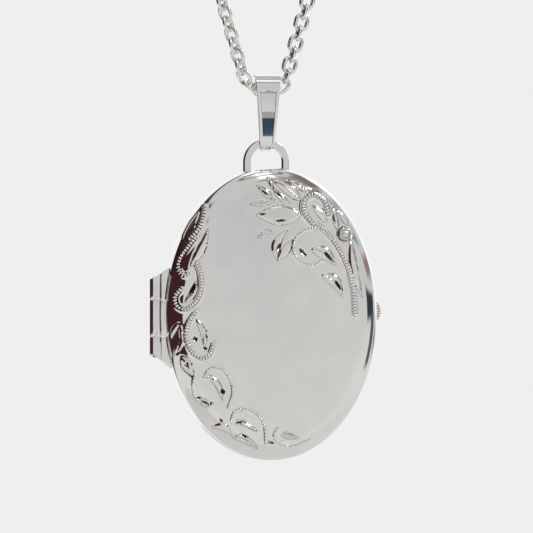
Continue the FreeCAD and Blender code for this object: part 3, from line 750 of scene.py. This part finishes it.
# %% Heights of the relief
def smooth_line(points, per_span=12):
    """A smooth line through a few points."""
    p = np.array(points, float)
    p = np.vstack([2 * p[0] - p[1], p, 2 * p[-1] - p[-2]])
    t = np.linspace(0, 1, per_span, endpoint=False)[:, None]
    spans = []
    for a, b, c, d in zip(p, p[1:], p[2:], p[3:]):
        bend, sway = 2 * a - 5 * b + 4 * c - d, 3 * b - a - 3 * c + d
        spans.append(0.5 * (2 * b + (c - a) * t + bend * t**2 + sway * t**3))
    return np.vstack([*spans, p[-2:-1]])


def soft(value):
    """A smooth step: 0 up to 0, 1 from 1 on."""
    t = np.clip(value, 0, 1)
    return t * t * (3 - 2 * t)


NEAR, FAR = 1.0, 9.0


def distance_to(line, x, z):
    """The distance from each point to a line of short straight pieces; points far off get FAR."""
    nearest = np.full_like(x, FAR)
    (low_x, low_z), (high_x, high_z) = line.min(axis=0) - NEAR, line.max(axis=0) + NEAR
    near = (x > low_x) & (x < high_x) & (z > low_z) & (z < high_z)
    u, v = x[near], z[near]
    best = np.full_like(u, FAR)
    for (ax, az), (bx, bz) in zip(line, line[1:]):
        run_x, run_z = bx - ax, bz - az
        share = np.clip(((u - ax) * run_x + (v - az) * run_z) / (run_x**2 + run_z**2), 0, 1)
        best = np.minimum(best, np.hypot(u - ax - share * run_x, v - az - share * run_z))
    nearest[near] = best
    return nearest


def leaf_edge(leaf, x, z):
    """How far inside a leaf's outline each point is, and its distance from the midrib."""
    (foot_x, foot_z), (tip_x, tip_z), half_width, bend, _ = leaf
    along_x, along_z = tip_x - foot_x, tip_z - foot_z
    length = math.hypot(along_x, along_z)
    share = ((x - foot_x) * along_x + (z - foot_z) * along_z) / length**2
    across = ((z - foot_z) * along_x - (x - foot_x) * along_z) / length - 4 * bend * share * (1 - share)
    inside = np.clip(share, 0, 1)
    width = half_width * np.sin(math.pi * inside**0.8) ** 0.85
    off_end = np.maximum(np.maximum(-share, share - 1), 0) * length
    return width - np.hypot(across, off_end), np.abs(across), share


STRIP_HEIGHT = 0.06
PILLOW_HEIGHT = 0.11


def relief(x, z):
    """Height of the ornament over the plain face, and how much painted shade and tarnish each point gets."""
    height, shade_and_tarnish = np.zeros_like(x), np.zeros_like(x)
    for leaf in LEAVES.values():
        edge, across, share = leaf_edge(leaf, x, z)
        groove = soft((edge + 0.1) / 0.06) * (1 - soft((edge + 0.02) / 0.06))
        pillow = PILLOW_HEIGHT * soft(edge / 0.2)
        if leaf[4]:
            rib = soft((0.09 - across) / 0.06) * soft(edge / 0.15) * soft(share / 0.15)
            pillow = pillow - 0.07 * rib
            # Painted shade and tarnish along the midrib.
            shade_and_tarnish = np.maximum(shade_and_tarnish, 0.5 * rib)
        height = np.where(edge > 0, np.maximum(height, pillow), height) - 0.045 * groove
        # Painted shade and tarnish in the engraved outline.
        shade_and_tarnish = np.maximum(shade_and_tarnish, 0.7 * groove)
    for half_width, points in STEMS.values():
        away = distance_to(smooth_line(points), x, z)
        strip = STRIP_HEIGHT * soft((half_width + 0.04 - away) / 0.12)
        bed = soft((half_width - 0.08 - away) / 0.05)
        height = np.where(away < half_width + 0.06, np.maximum(strip, height * 0.3), height)
        # Painted shade and tarnish in the stem's bed, under and between the beads.
        shade_and_tarnish = np.where(away < half_width + 0.05, 0.55 * bed, shade_and_tarnish)
    for half_width, start, end in CUTS:
        cut = np.clip(leaf_edge((start, end, 1.4 * half_width, 0.0, False), x, z)[0] / half_width, 0, 1)
        height = height - 0.16 * cut
        # Painted dark in the cuts, for the dark they reflect and for their tarnish.
        shade_and_tarnish = np.maximum(shade_and_tarnish, soft(cut * 2.2))
    # Painted shade in the stone's dish.
    dish = soft((0.9 - np.hypot(x - STONE_X, z - STONE_Z)) / 0.25)
    return height * (1 - dish) - 0.24 * dish, np.maximum(shade_and_tarnish * (1 - dish), 0.7 * dish)


# %% [markdown]
# The front shell is one closed mesh. Its rings lie closest together on the shoulder and under the
# ornament, and few are spent on the plain middle and on the inside.

# %% The front shell
FRONT_COUNT, BACK_COUNT = 740, 360


def shell_rings(side, crown, insets, count):
    """The rings of a shell's outside, from the seam to the middle, and of its inside."""
    wall = [(0.0, depth) for depth in (SEAM_GAP, 0.12, SIDE_HEIGHT * 0.6)]
    outer = wall + [(inset, float(face_depth(inset, crown))) for inset in insets]
    inner = [(0.4, SEAM_GAP), *INSIDE]
    return [[oval_ring(inset, depth, side, count, True) for inset, depth in face] for face in (outer, inner)]


def push_relief(rings):
    """Moves the outer rings along their own normals by the relief's height."""
    grid = np.array(rings)
    around = np.roll(grid, -1, axis=1) - np.roll(grid, 1, axis=1)
    across = np.gradient(grid, axis=0)
    normal = np.cross(around, across)
    size = np.linalg.norm(normal, axis=2, keepdims=True)
    normal = np.where(size > 1e-9, normal / np.maximum(size, 1e-9), [0.0, -1.0, 0.0])
    normal = np.where(normal[..., 1:2] > 0, -normal, normal)
    height, shade_and_tarnish = relief(grid[..., 0].ravel(), grid[..., 2].ravel())
    shape = grid.shape[:2]
    height = height.reshape(shape)
    height[:4] = 0
    height[-1] = height[-1].mean()
    return grid + normal * height[..., None], shade_and_tarnish.reshape(shape)


def set_shade_and_tarnish(mesh, values):
    """Paints the attribute that the metals read as the painted shade and tarnish of the cuts."""
    mesh.attributes.new("shade_and_tarnish", "FLOAT", "POINT").data.foreach_set("value", values)


def make_front_cover():
    ornament, middle = np.arange(2.0, 7.9, 0.086), np.linspace(8.1, HALF_WIDTH, 7)
    insets = np.concatenate([shoulder_insets(32), ornament, middle])
    outer, inner = shell_rings(-1, CROWN, insets, FRONT_COUNT)
    outer, shade_and_tarnish = push_relief(outer)
    rings = [*outer[::-1], *inner]
    mesh = new_mesh("front_cover", *loft(rings, caps=False))
    set_shade_and_tarnish(mesh, np.concatenate([shade_and_tarnish[::-1].ravel(), np.zeros(len(inner) * FRONT_COUNT)]))
    tidy_mesh(mesh, 50)
    make_piece("front_cover_vine", mesh, "front_half", cover_silver, "front_cover")


make_front_cover()


# %% The back shell
def make_back_cover():
    insets = np.concatenate([shoulder_insets(20), [2.2, 3.5, 6.0, HALF_WIDTH]])
    outer, inner = shell_rings(1, 0.0, insets, BACK_COUNT)
    mesh = new_mesh("back_cover", *loft([*outer[::-1], *inner], caps=False))
    tidy_mesh(mesh, 50)
    make_piece("back_cover_shell", mesh, "back_half", back_silver, "back_cover")


make_back_cover()

# %% [markdown]
# ## Milgrain
#
# A milgrain wheel rolls a row of tiny beads along a line. On the wide stems the wheel is broader and
# the beads become short ridges across the stem. The rows are lines on the crowned face, and the
# Geometry Nodes tree sets a bead every 0.3 mm along them.

# %% Beads along the stems
BEAD_RADIUS = 0.15
BEAD_PITCH = 0.3
RIDGE_HALF = 0.27


def bead_rows(stems):
    rows = []
    for _, points in stems:
        x, z = smooth_line(points).T
        depth = face_depth(inset_at(x, z), CROWN) + STRIP_HEIGHT - 0.02
        rows.append(to_frame(np.stack([x, -depth, z], axis=1)))
    return rows


def bead_mesh(name, half_length):
    """A bead, or a ridge if its half length across the stem is more than its radius."""
    work = bmesh.new()
    bmesh.ops.create_uvsphere(work, u_segments=8, v_segments=6, radius=BEAD_RADIUS * MM)
    bmesh.ops.scale(work, vec=(0.9, 1.0, half_length / BEAD_RADIUS), verts=work.verts)
    mesh = bpy.data.meshes.new(name)
    work.to_mesh(mesh)
    work.free()
    mesh.shade_smooth()
    return mesh


wide_stems = [stem for stem in STEMS.values() if stem[0] > 0.2]
fine_stems = [stem for stem in STEMS.values() if stem[0] <= 0.2]
bead_kinds = (("rope_edges", wide_stems, RIDGE_HALF), ("milgrain", fine_stems, BEAD_RADIUS))
for name, stems, half_length in bead_kinds:
    bead = bead_mesh(f"{name}_bead", half_length)
    rows = set_along(name, bead_rows(stems), bead, BEAD_PITCH * MM, bead_silver)
    make_piece(name, rows, "front_half", bead_silver)

# %% [markdown]
# ## Inside the case
#
# Each half has a soldered seat with a thin lip, a clear window that lies on the seat and a
# moulded frame that snaps inside the lip. They only show when the locket is open, but they are
# what makes it a locket.

# %% Seats, windows and frames
SEAT = [(0.46, 0.8), (0.46, 0.5), (1.08, 0.5), (1.08, 0.24), (1.12, 0.2), (1.19, 0.2), (1.23, 0.24)]
SEAT += [(1.23, 0.5), (2.16, 0.5), (2.2, 0.54), (2.2, 0.8)]
MOULDING = [(1.25, 0.38), (1.25, 0.2), (1.29, 0.15), (1.4, 0.13), (1.52, 0.18), (1.6, 0.18)]
MOULDING += [(1.7, 0.13), (1.85, 0.12), (2.0, 0.13), (2.08, 0.18), (2.16, 0.18), (2.28, 0.24)]
MOULDING += [(2.38, 0.33), (2.4, 0.38)]
PANE = [(1.3, 0.49), (1.3, 0.4), (1.33, 0.38)]
for side_name, side in (("front", -1), ("back", 1)):
    half = f"{side_name}_half"
    oval_piece(f"{side_name}_rim", SEAT, side, half, rim_silver)
    oval_piece(f"{side_name}_photo_window", PANE, side, half, acetate, hollow=False)
    oval_piece(f"{side_name}_photo_frame", MOULDING, side, half, frame_silver)

# %% [markdown]
# ## The hinge
#
# Three tube knuckles share a pin. The middle one belongs to the front half and the outer two to the
# back, each with a saddle soldered along the edge of its half. The ends are filed on a slant so that
# the hinge runs out into the case. A knuckle is its own section carried along the pin, with the
# saddle reaching to wherever the oval edge is at that height.

# %% Knuckles
KNUCKLE_RADIUS = 0.6
FLATTENING = 0.6
PIN_LOW, PIN_HIGH = box_mm("hinge_pin")
HINGE_X = (PIN_LOW.x + PIN_HIGH.x) / 2


def case_edge(z):
    return -HALF_WIDTH * math.sqrt(1 - (z / HALF_HEIGHT) ** 2)


def knuckle_ring(z, side, slant, shrink):
    """The section at one height: the tube, filed to soft flats, then the saddle's corners.

    The tube ends a little behind the seam, so the web beside it leans to the light on the left.
    """
    radius = KNUCKLE_RADIUS - shrink
    ring = []
    for angle in np.linspace(math.radians(35), math.radians(365), 45):
        across, back = (math.copysign(abs(v) ** FLATTENING, v) for v in (math.cos(angle), math.sin(angle)))
        ring.append([HINGE_X + radius * across, side * radius * back, z])
    edge = case_edge(z) + 0.05
    saddle = ((edge, 0.06 + shrink), (edge, 0.3), (edge, 0.72 - shrink), (edge - 0.5, 0.74 - shrink))
    ring += [[x, side * y, z] for x, y in saddle]
    for point in ring:
        point[2] += slant * (point[0] - edge)
    return ring


def make_knuckle(node, side, body, low_slant=0.0, high_slant=0.0):
    low, high = box_mm(node)
    rings = []
    for share in (0.0, 0.05, *np.linspace(0.2, 0.8, 13), 0.95, 1.0):
        shrink = 0.05 if share in (0.0, 1.0) else 0.0
        slant = low_slant * (1 - share) ** 3 + high_slant * share**3
        rings.append(knuckle_ring(low.z + (high.z - low.z) * share, side, slant, shrink))
    mesh = new_mesh(node, *loft(rings))
    tidy_mesh(mesh, 40)
    make_piece(f"{node}_tube", mesh, body, satin_silver, node)


make_knuckle("hinge_knuckle_top", 1, "back_half", high_slant=0.6)
make_knuckle("hinge_knuckle_middle", -1, "front_half")
make_knuckle("hinge_knuckle_bottom", 1, "back_half", low_slant=-0.75)

# %% [markdown]
# ## The thumb piece
#
# A small half-round tab on the front edge gives a fingernail something to push. Its rim is notched so that
# it doesn't slip, and the notches are painted dark, which stands for both their shade and their tarnish.

# %% Thumb piece
THUMB_LOW, THUMB_HIGH = box_mm("thumb_piece")
THUMB_RADIUS = 1.48
THUMB_STEPS = 72
NOTCH_STEPS = 9
NOTCH_DEPTH = 0.13


def make_thumb_piece():
    centre_x, centre_z = THUMB_HIGH.x - THUMB_RADIUS, (THUMB_LOW.z + THUMB_HIGH.z) / 2
    near, far = -THUMB_HIGH.y, -THUMB_LOW.y
    section = [(0.72, near), (0.97, near), (1.0, near + 0.08), (1.0, (near + far) / 2)]
    section += [(1.0, far - 0.08), (0.97, far), (0.72, far)]
    rings, shade_and_tarnish = [], []
    for i in range(THUMB_STEPS + 1):
        angle = math.radians(-50 + 100 * i / THUMB_STEPS)
        wave = math.cos(2 * math.pi * i / NOTCH_STEPS)
        ring = []
        for share, depth in section:
            reach = THUMB_RADIUS * share - (NOTCH_DEPTH * (0.5 + 0.5 * wave) if share > 0.9 else 0)
            ring.append((centre_x + reach * math.cos(angle), -depth, centre_z + reach * math.sin(angle)))
            # Painted shade and tarnish in the notches.
            shade_and_tarnish.append(0.9 if wave > 0.3 else 0.0)
        rings.append(ring)
    mesh = new_mesh("thumb_piece", *loft(rings))
    set_shade_and_tarnish(mesh, shade_and_tarnish)
    tidy_mesh(mesh, 40)
    make_piece("thumb_tab", mesh, "front_half", fitting_silver, "thumb_piece")


make_thumb_piece()

# %% [markdown]
# ## The stone
#
# A tiny round brilliant sits in a tube setting that is pushed through the shell. The tube is turned
# with a bright bevel inside its rim. The stone's facets are left flat, because flat facets are what
# flashes.

# %% Setting and stone
def turned(profile, count, start=0.0):
    """Rings of a turned shape about the stone's axis; profile holds (radius, y) pairs."""
    rings = []
    for radius, y in profile:
        angles = np.linspace(0, 2 * math.pi, count, endpoint=False) + start
        ring = [STONE_X + radius * np.cos(angles), np.full(count, y), STONE_Z + radius * np.sin(angles)]
        rings.append(np.stack(ring, axis=1))
    return rings


COLLET_LOW, COLLET_HIGH = box_mm("stone_collet")
front, foot = COLLET_LOW.y, COLLET_HIGH.y
girdle = STONE_LOW.y + 0.18
collet = [(0.3, foot), (0.58, foot), (0.6, foot - 0.05), (0.6, front + 0.06), (0.57, front), (0.5, front)]
collet += [(0.47, front + 0.06), (0.45, girdle + 0.1), (0.3, girdle + 0.3)]
collet_mesh = new_mesh("stone_collet", *loft(turned(collet, 40), closed_along=True))
tidy_mesh(collet_mesh, 35)
make_piece("stone_setting", collet_mesh, "front_half", fitting_silver, "stone_collet")

brilliant = [(0.2, STONE_LOW.y), (0.36, STONE_LOW.y + 0.08), (0.44, girdle - 0.02), (0.44, girdle + 0.02)]
brilliant += [(0.24, girdle + 0.12), (0.03, STONE_HIGH.y)]
stone_mesh = new_mesh("accent_stone", *loft(turned(brilliant, 12, math.pi / 12)))
tidy_mesh(stone_mesh, 1)
make_piece("accent_brilliant", stone_mesh, "front_half", clear_stone, "accent_stone")

# %% [markdown]
# ## The loop
#
# Half a hoop of bevelled wire stands on the back half. Its section is an eight-sided bar with
# softened corners, carried up one leg, over and down the other.

# %% Loop on the case
LOOP_LOW, LOOP_HIGH = box_mm("case_loop")
LOOP_WIRE = LOOP_HIGH.y - LOOP_LOW.y
LOOP_X = (LOOP_LOW.x + LOOP_HIGH.x) / 2
LOOP_RADIUS = (LOOP_HIGH.x - LOOP_LOW.x - LOOP_WIRE) / 2
LOOP_Z = LOOP_HIGH.z - LOOP_WIRE / 2 - LOOP_RADIUS


def bar_section():
    """The bar's outline as (outwards, back) pairs: broad flats front and back, steep bevels."""
    half = LOOP_WIRE / 2
    quarter = [(half * out, half * back) for out, back in ((0.68, 1), (0.76, 0.96), (0.96, 0.5), (1, 0.36))]
    right = quarter + [(out, -back) for out, back in reversed(quarter)]
    return right + [(-out, -back) for out, back in right]


def make_case_loop():
    path = [(-LOOP_RADIUS, z - LOOP_Z, math.pi) for z in np.linspace(LOOP_LOW.z, LOOP_Z, 5)[:-1]]
    for angle in np.linspace(math.pi, 0, 49):
        path.append((LOOP_RADIUS * math.cos(angle), LOOP_RADIUS * math.sin(angle), angle))
    path += [(LOOP_RADIUS, z - LOOP_Z, 0.0) for z in np.linspace(LOOP_Z, LOOP_LOW.z, 5)[1:]]
    rings = []
    for x, z, angle in path:
        ring = [(x + out * math.cos(angle), back, z + out * math.sin(angle)) for out, back in bar_section()]
        rings.append(np.array(ring) + (LOOP_X, LOOP_Y, LOOP_Z))
    mesh = new_mesh("case_loop", *loft(rings))
    tidy_mesh(mesh, 18)
    make_piece("case_loop_bar", mesh, "back_half", fitting_silver, "case_loop")


make_case_loop()

# %% [markdown]
# ## The bail
#
# The bail is a strip folded in two round the loop and over the chain. It is wide at the top and
# tapers down. Between two flat borders its front has a sunk panel that starts below the roll, and the
# back leaf is narrower. The mesh is that cross section carried round the fold.

# %% Folded bail
BAIL_LOW, BAIL_HIGH = box_mm("bail")
BAIL_WALL = 0.26
ROLL_RADIUS = (BAIL_HIGH.y - BAIL_LOW.y) / 2 - BAIL_WALL
FOOT_RADIUS = 0.6
FOOT_Z = BAIL_LOW.z + FOOT_RADIUS + BAIL_WALL
ROLL_Z = BAIL_HIGH.z - ROLL_RADIUS - BAIL_WALL
BAIL_X = (BAIL_LOW.x + BAIL_HIGH.x) / 2
BAIL_TOP_HALF = (BAIL_HIGH.x - BAIL_LOW.x) / 2
BAIL_FOOT_HALF = 0.65
BAIL_SWELL = 0.18
BACK_TAPER = 0.36
PANEL_TOP = 22.35
PANEL_DEPTH = 0.06


def fold_stations():
    """(y, z, direction) of the strip's inside all round the fold."""
    lean = math.asin((ROLL_RADIUS - FOOT_RADIUS) / (ROLL_Z - FOOT_Z))
    over = [(angle, ROLL_RADIUS, ROLL_Z) for angle in np.linspace(-lean, math.pi + lean, 41)]
    under = [(angle, FOOT_RADIUS, FOOT_Z) for angle in np.linspace(math.pi + lean, 2 * math.pi - lean, 25)]
    corners = []
    for angle, radius, z in over + under:
        out_y, out_z = math.cos(angle), math.sin(angle)
        corners.append(np.array([radius * out_y, z + radius * out_z, out_y, out_z]))
    runs = []
    for start, end in ((corners[40], corners[41]), (corners[-1], corners[0])):
        run = []
        for share in np.linspace(0, 1, 24)[1:-1]:
            station = start + (end - start) * share
            station[:2] += station[2:] * BAIL_SWELL * 4 * share * (1 - share)
            tilt = BAIL_SWELL * 4 * (1 - 2 * share) / np.linalg.norm(end[:2] - start[:2])
            station[2:] = [station[2] - tilt * -station[3], station[3] - tilt * station[2]]
            run.append(station)
        runs.append(run)
    return corners[:41] + runs[0] + corners[41:] + runs[1]


def strip_section(half_width, sunk):
    """Across the strip: borders that fall outwards, a panel sunk between them, the plain inside."""
    border = 0.3 * half_width / BAIL_TOP_HALF + 0.06
    rise = [(0.0, 0.06), (0.0, BAIL_WALL - 0.08), (0.04, BAIL_WALL - 0.6 * sunk)]
    rise += [(border, BAIL_WALL), (border + 0.04, BAIL_WALL - sunk)]
    left = [(-half_width + x, h) for x, h in rise]
    right = [(-x, h) for x, h in reversed(left)]
    inside = [(half_width - 0.04, 0.0), (0.0, 0.0), (0.04 - half_width, 0.0)]
    return left + [(0.0, BAIL_WALL - sunk)] + right + inside


def make_bail():
    rings = []
    for y, z, out_y, out_z in fold_stations():
        share = (z - BAIL_LOW.z) / (BAIL_HIGH.z - BAIL_LOW.z)
        half_width = BAIL_FOOT_HALF + (BAIL_TOP_HALF - BAIL_FOOT_HALF) * share
        half_width *= 1 - BACK_TAPER * soft(y / ROLL_RADIUS)
        section = strip_section(half_width, PANEL_DEPTH * soft((PANEL_TOP - z) / 0.25))
        rings.append([(BAIL_X + x, LOOP_Y + y + out_y * h, z + out_z * h) for x, h in section])
    mesh = new_mesh("bail", *loft(rings, closed_along=True))
    tidy_mesh(mesh, 25)
    make_piece("bail_strip", mesh, "bail", bail_silver, "bail")


make_bail()

# %% [markdown]
# ## What stays as the CAD made it
#
# The clasp, the jump rings, the pin and the catch are plain bent wire and cut sheet, which the CAD
# model has already. They only need their metal.

# %% Metals for the CAD pieces
CAD_FINISHES = {
    "hinge_pin": pin_silver,
    "catch_tongue": rim_silver,
    "catch_keeper": rim_silver,
    "clasp_ring": clasp_silver,
    "clasp_bolt": clasp_silver,
    "clasp_eyelet": clasp_silver,
    "clasp_spring": spring_steel,
    "jump_ring_fixed": chain_silver,
    "jump_ring_free": chain_silver,
}
for node, finish in CAD_FINISHES.items():
    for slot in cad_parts[node].material_slots:
        slot.material = finish
print("CAD pieces finished:", ", ".join(CAD_FINISHES))

# %% [markdown]
# ## Studio
#
# Polished silver has no colour of its own: what shows is the room. So the room is built as a
# jeweller's light tent, a world shader that gives each direction its brightness. Most of it is soft
# grey, with white behind. A dark wall on the left shows in the slope of the cover, narrow
# coloured patches on the right make the streaks of its far shoulder, and a small dark card straight
# ahead shows in the bail. A strip overhead, in the plane of the camera, gives the bail's roll its
# bands. The camera itself sees an even pale backdrop. Azimuth is measured from the front,
# positive to the left, and both angles are in degrees.

# %% The room
def make_room():
    world = bpy.data.worlds.new("light_tent")
    world.use_nodes = True
    bpy.context.scene.world = world
    graph = Graph(world.node_tree)
    toward = graph.node("ShaderNodeTexCoord")
    parts = graph.tree.nodes.new("ShaderNodeSeparateXYZ")
    graph.tree.links.new(toward.socket, parts.inputs[0])
    x, y, z = (Value(graph, output) for output in parts.outputs)
    left = graph.math("ARCTAN2", x * -1, y * -1) * (180 / math.pi)
    up = graph.math("ARCSINE", z) * (180 / math.pi)

    def patch(az_low, az_high, el_low, el_high, soft_edge):
        return left.window(az_low, az_high, soft_edge) * up.window(el_low, el_high, soft_edge)

    strip = (x * math.cos(VIEW_TURN) + y * math.sin(VIEW_TURN)).window(-0.11, 0.11, 0.03)
    colour = graph.blend(up.smooth(-14, 10), rgba(0.69, 0.69, 0.68), rgba(0.58, 0.58, 0.575))
    ledge = left * 0.6 + 8
    for factor, tone in (
        (patch(-11, -6, 1, 4, 4) * 0.5, rgba(0.42, 0.42, 0.425)),
        (patch(20, 158, -14, 47, 2) * (1 - (up - ledge).smooth(-2, 2)), rgba(0.05, 0.017, 0.018)),
        (patch(60, 158, 30, 47, 3), rgba(0.06, 0.055, 0.05)),
        (patch(116, 158, -14, 30, 3), rgba(0.018, 0.014, 0.016)),
        (patch(-95, -50, -1.5, 5, 1.2), rgba(0.03, 0.045, 0.065)),
        (patch(-100, -76, -14, 0, 2), rgba(0.1, 0.1, 0.11)),
        (patch(-112, -72, 9, 15, 2), rgba(0.3, 0.2, 0.18)),
        (patch(-82, -46, 18, 25, 2), rgba(0.14, 0.3, 0.3)),
        (patch(-105, -55, 32, 38, 2), rgba(0.33, 0.42, 0.4)),
        (patch(-58, -17, 28, 60, 4), rgba(0.33, 0.31, 0.275)),
        (patch(-135, -55, 46, 66, 4), rgba(0.2, 0.18, 0.165)),
        (patch(-130, -110, -8, 0, 3), rgba(0.16, 0.14, 0.13)),
        (patch(-185, -114, -3, 50, 4), rgba(1.0, 1.0, 1.0)),
        (patch(168, 185, -50, 50, 3), rgba(1.0, 1.0, 1.0)),
        (strip * up.smooth(52, 55), rgba(1.15, 1.15, 1.15)),
        (up.window(72, 76, 1), rgba(0.2, 0.18, 0.17)),
        (up.smooth(80, 86), rgba(1.0, 1.0, 1.0)),
        (strip * up.window(40, 45, 1), rgba(0.25, 0.24, 0.23)),
        (patch(155, 185, 34, 46, 2), rgba(0.13, 0.06, 0.045)),
        (patch(-185, -175, 34, 46, 2), rgba(0.13, 0.06, 0.045)),
        (patch(-10.9, -9.1, -19, -9, 0.4), rgba(0.025, 0.05, 0.09)),
        (patch(-10.9, -9.1, -9, -5.8, 0.4), rgba(0.36, 0.36, 0.37)),
    ):
        colour = graph.blend(factor, colour, tone)
    seen_by_camera = graph.node("ShaderNodeLightPath")
    colour = graph.blend(seen_by_camera, colour, rgba(0.86, 0.86, 0.865))
    shader = graph.node("ShaderNodeBackground", inputs={"Color": colour, "Strength": 1.0})
    graph.node("ShaderNodeOutputWorld", inputs={"Surface": shader})


make_room()
bpy.context.scene.view_settings.view_transform = "Standard"
print("room ready")

# %% [markdown]
# Two soft boxes add the sparkle on beads and facets: one in front on the right, one behind on the
# right. A pale disc well below the locket is the table under it.

# %% Soft boxes and table
def make_soft_box(name, azimuth, elevation, side, power):
    """An area light half a metre away that looks at the case; azimuth is positive to the left."""
    data = bpy.data.lights.new(name, "AREA")
    data.size = side
    data.energy = power
    light = bpy.data.objects.new(name, data)
    a, e = math.radians(azimuth), math.radians(elevation)
    out = Vector((-math.sin(a) * math.cos(e), -math.cos(a) * math.cos(e), math.sin(e)))
    light.location = CENTRE + out * 0.5
    light.rotation_euler = (-out).to_track_quat("-Z", "Y").to_euler()
    bpy.context.scene.collection.objects.link(light)


make_soft_box("key_box", -48, 38, 0.07, 0.32)
make_soft_box("side_box", -142, 30, 0.1, 0.4)


def make_table():
    work = bmesh.new()
    bmesh.ops.create_circle(work, cap_ends=True, segments=96, radius=0.16)
    mesh = bpy.data.meshes.new("table")
    work.to_mesh(mesh)
    work.free()
    table = bpy.data.objects.new("table", mesh)
    table.location = (CENTRE.x, CENTRE.y, cad_box[0][2] - 0.075)
    bpy.context.scene.collection.objects.link(table)
    material = bpy.data.materials.new("pale_table")
    material.use_nodes = True
    graph = Graph(material.node_tree)
    place = graph.node("ShaderNodeTexCoord", output=3)
    cloud = graph.node("ShaderNodeTexNoise", inputs={"Vector": place, "Scale": 40.0})
    colour = graph.blend(cloud, rgba(0.94, 0.94, 0.93), rgba(0.97, 0.97, 0.96))
    shader = graph.node("ShaderNodeBsdfPrincipled", inputs={"Base Color": colour, "Roughness": 0.8})
    graph.node("ShaderNodeOutputMaterial", inputs={"Surface": shader})
    mesh.materials.append(material)


make_table()
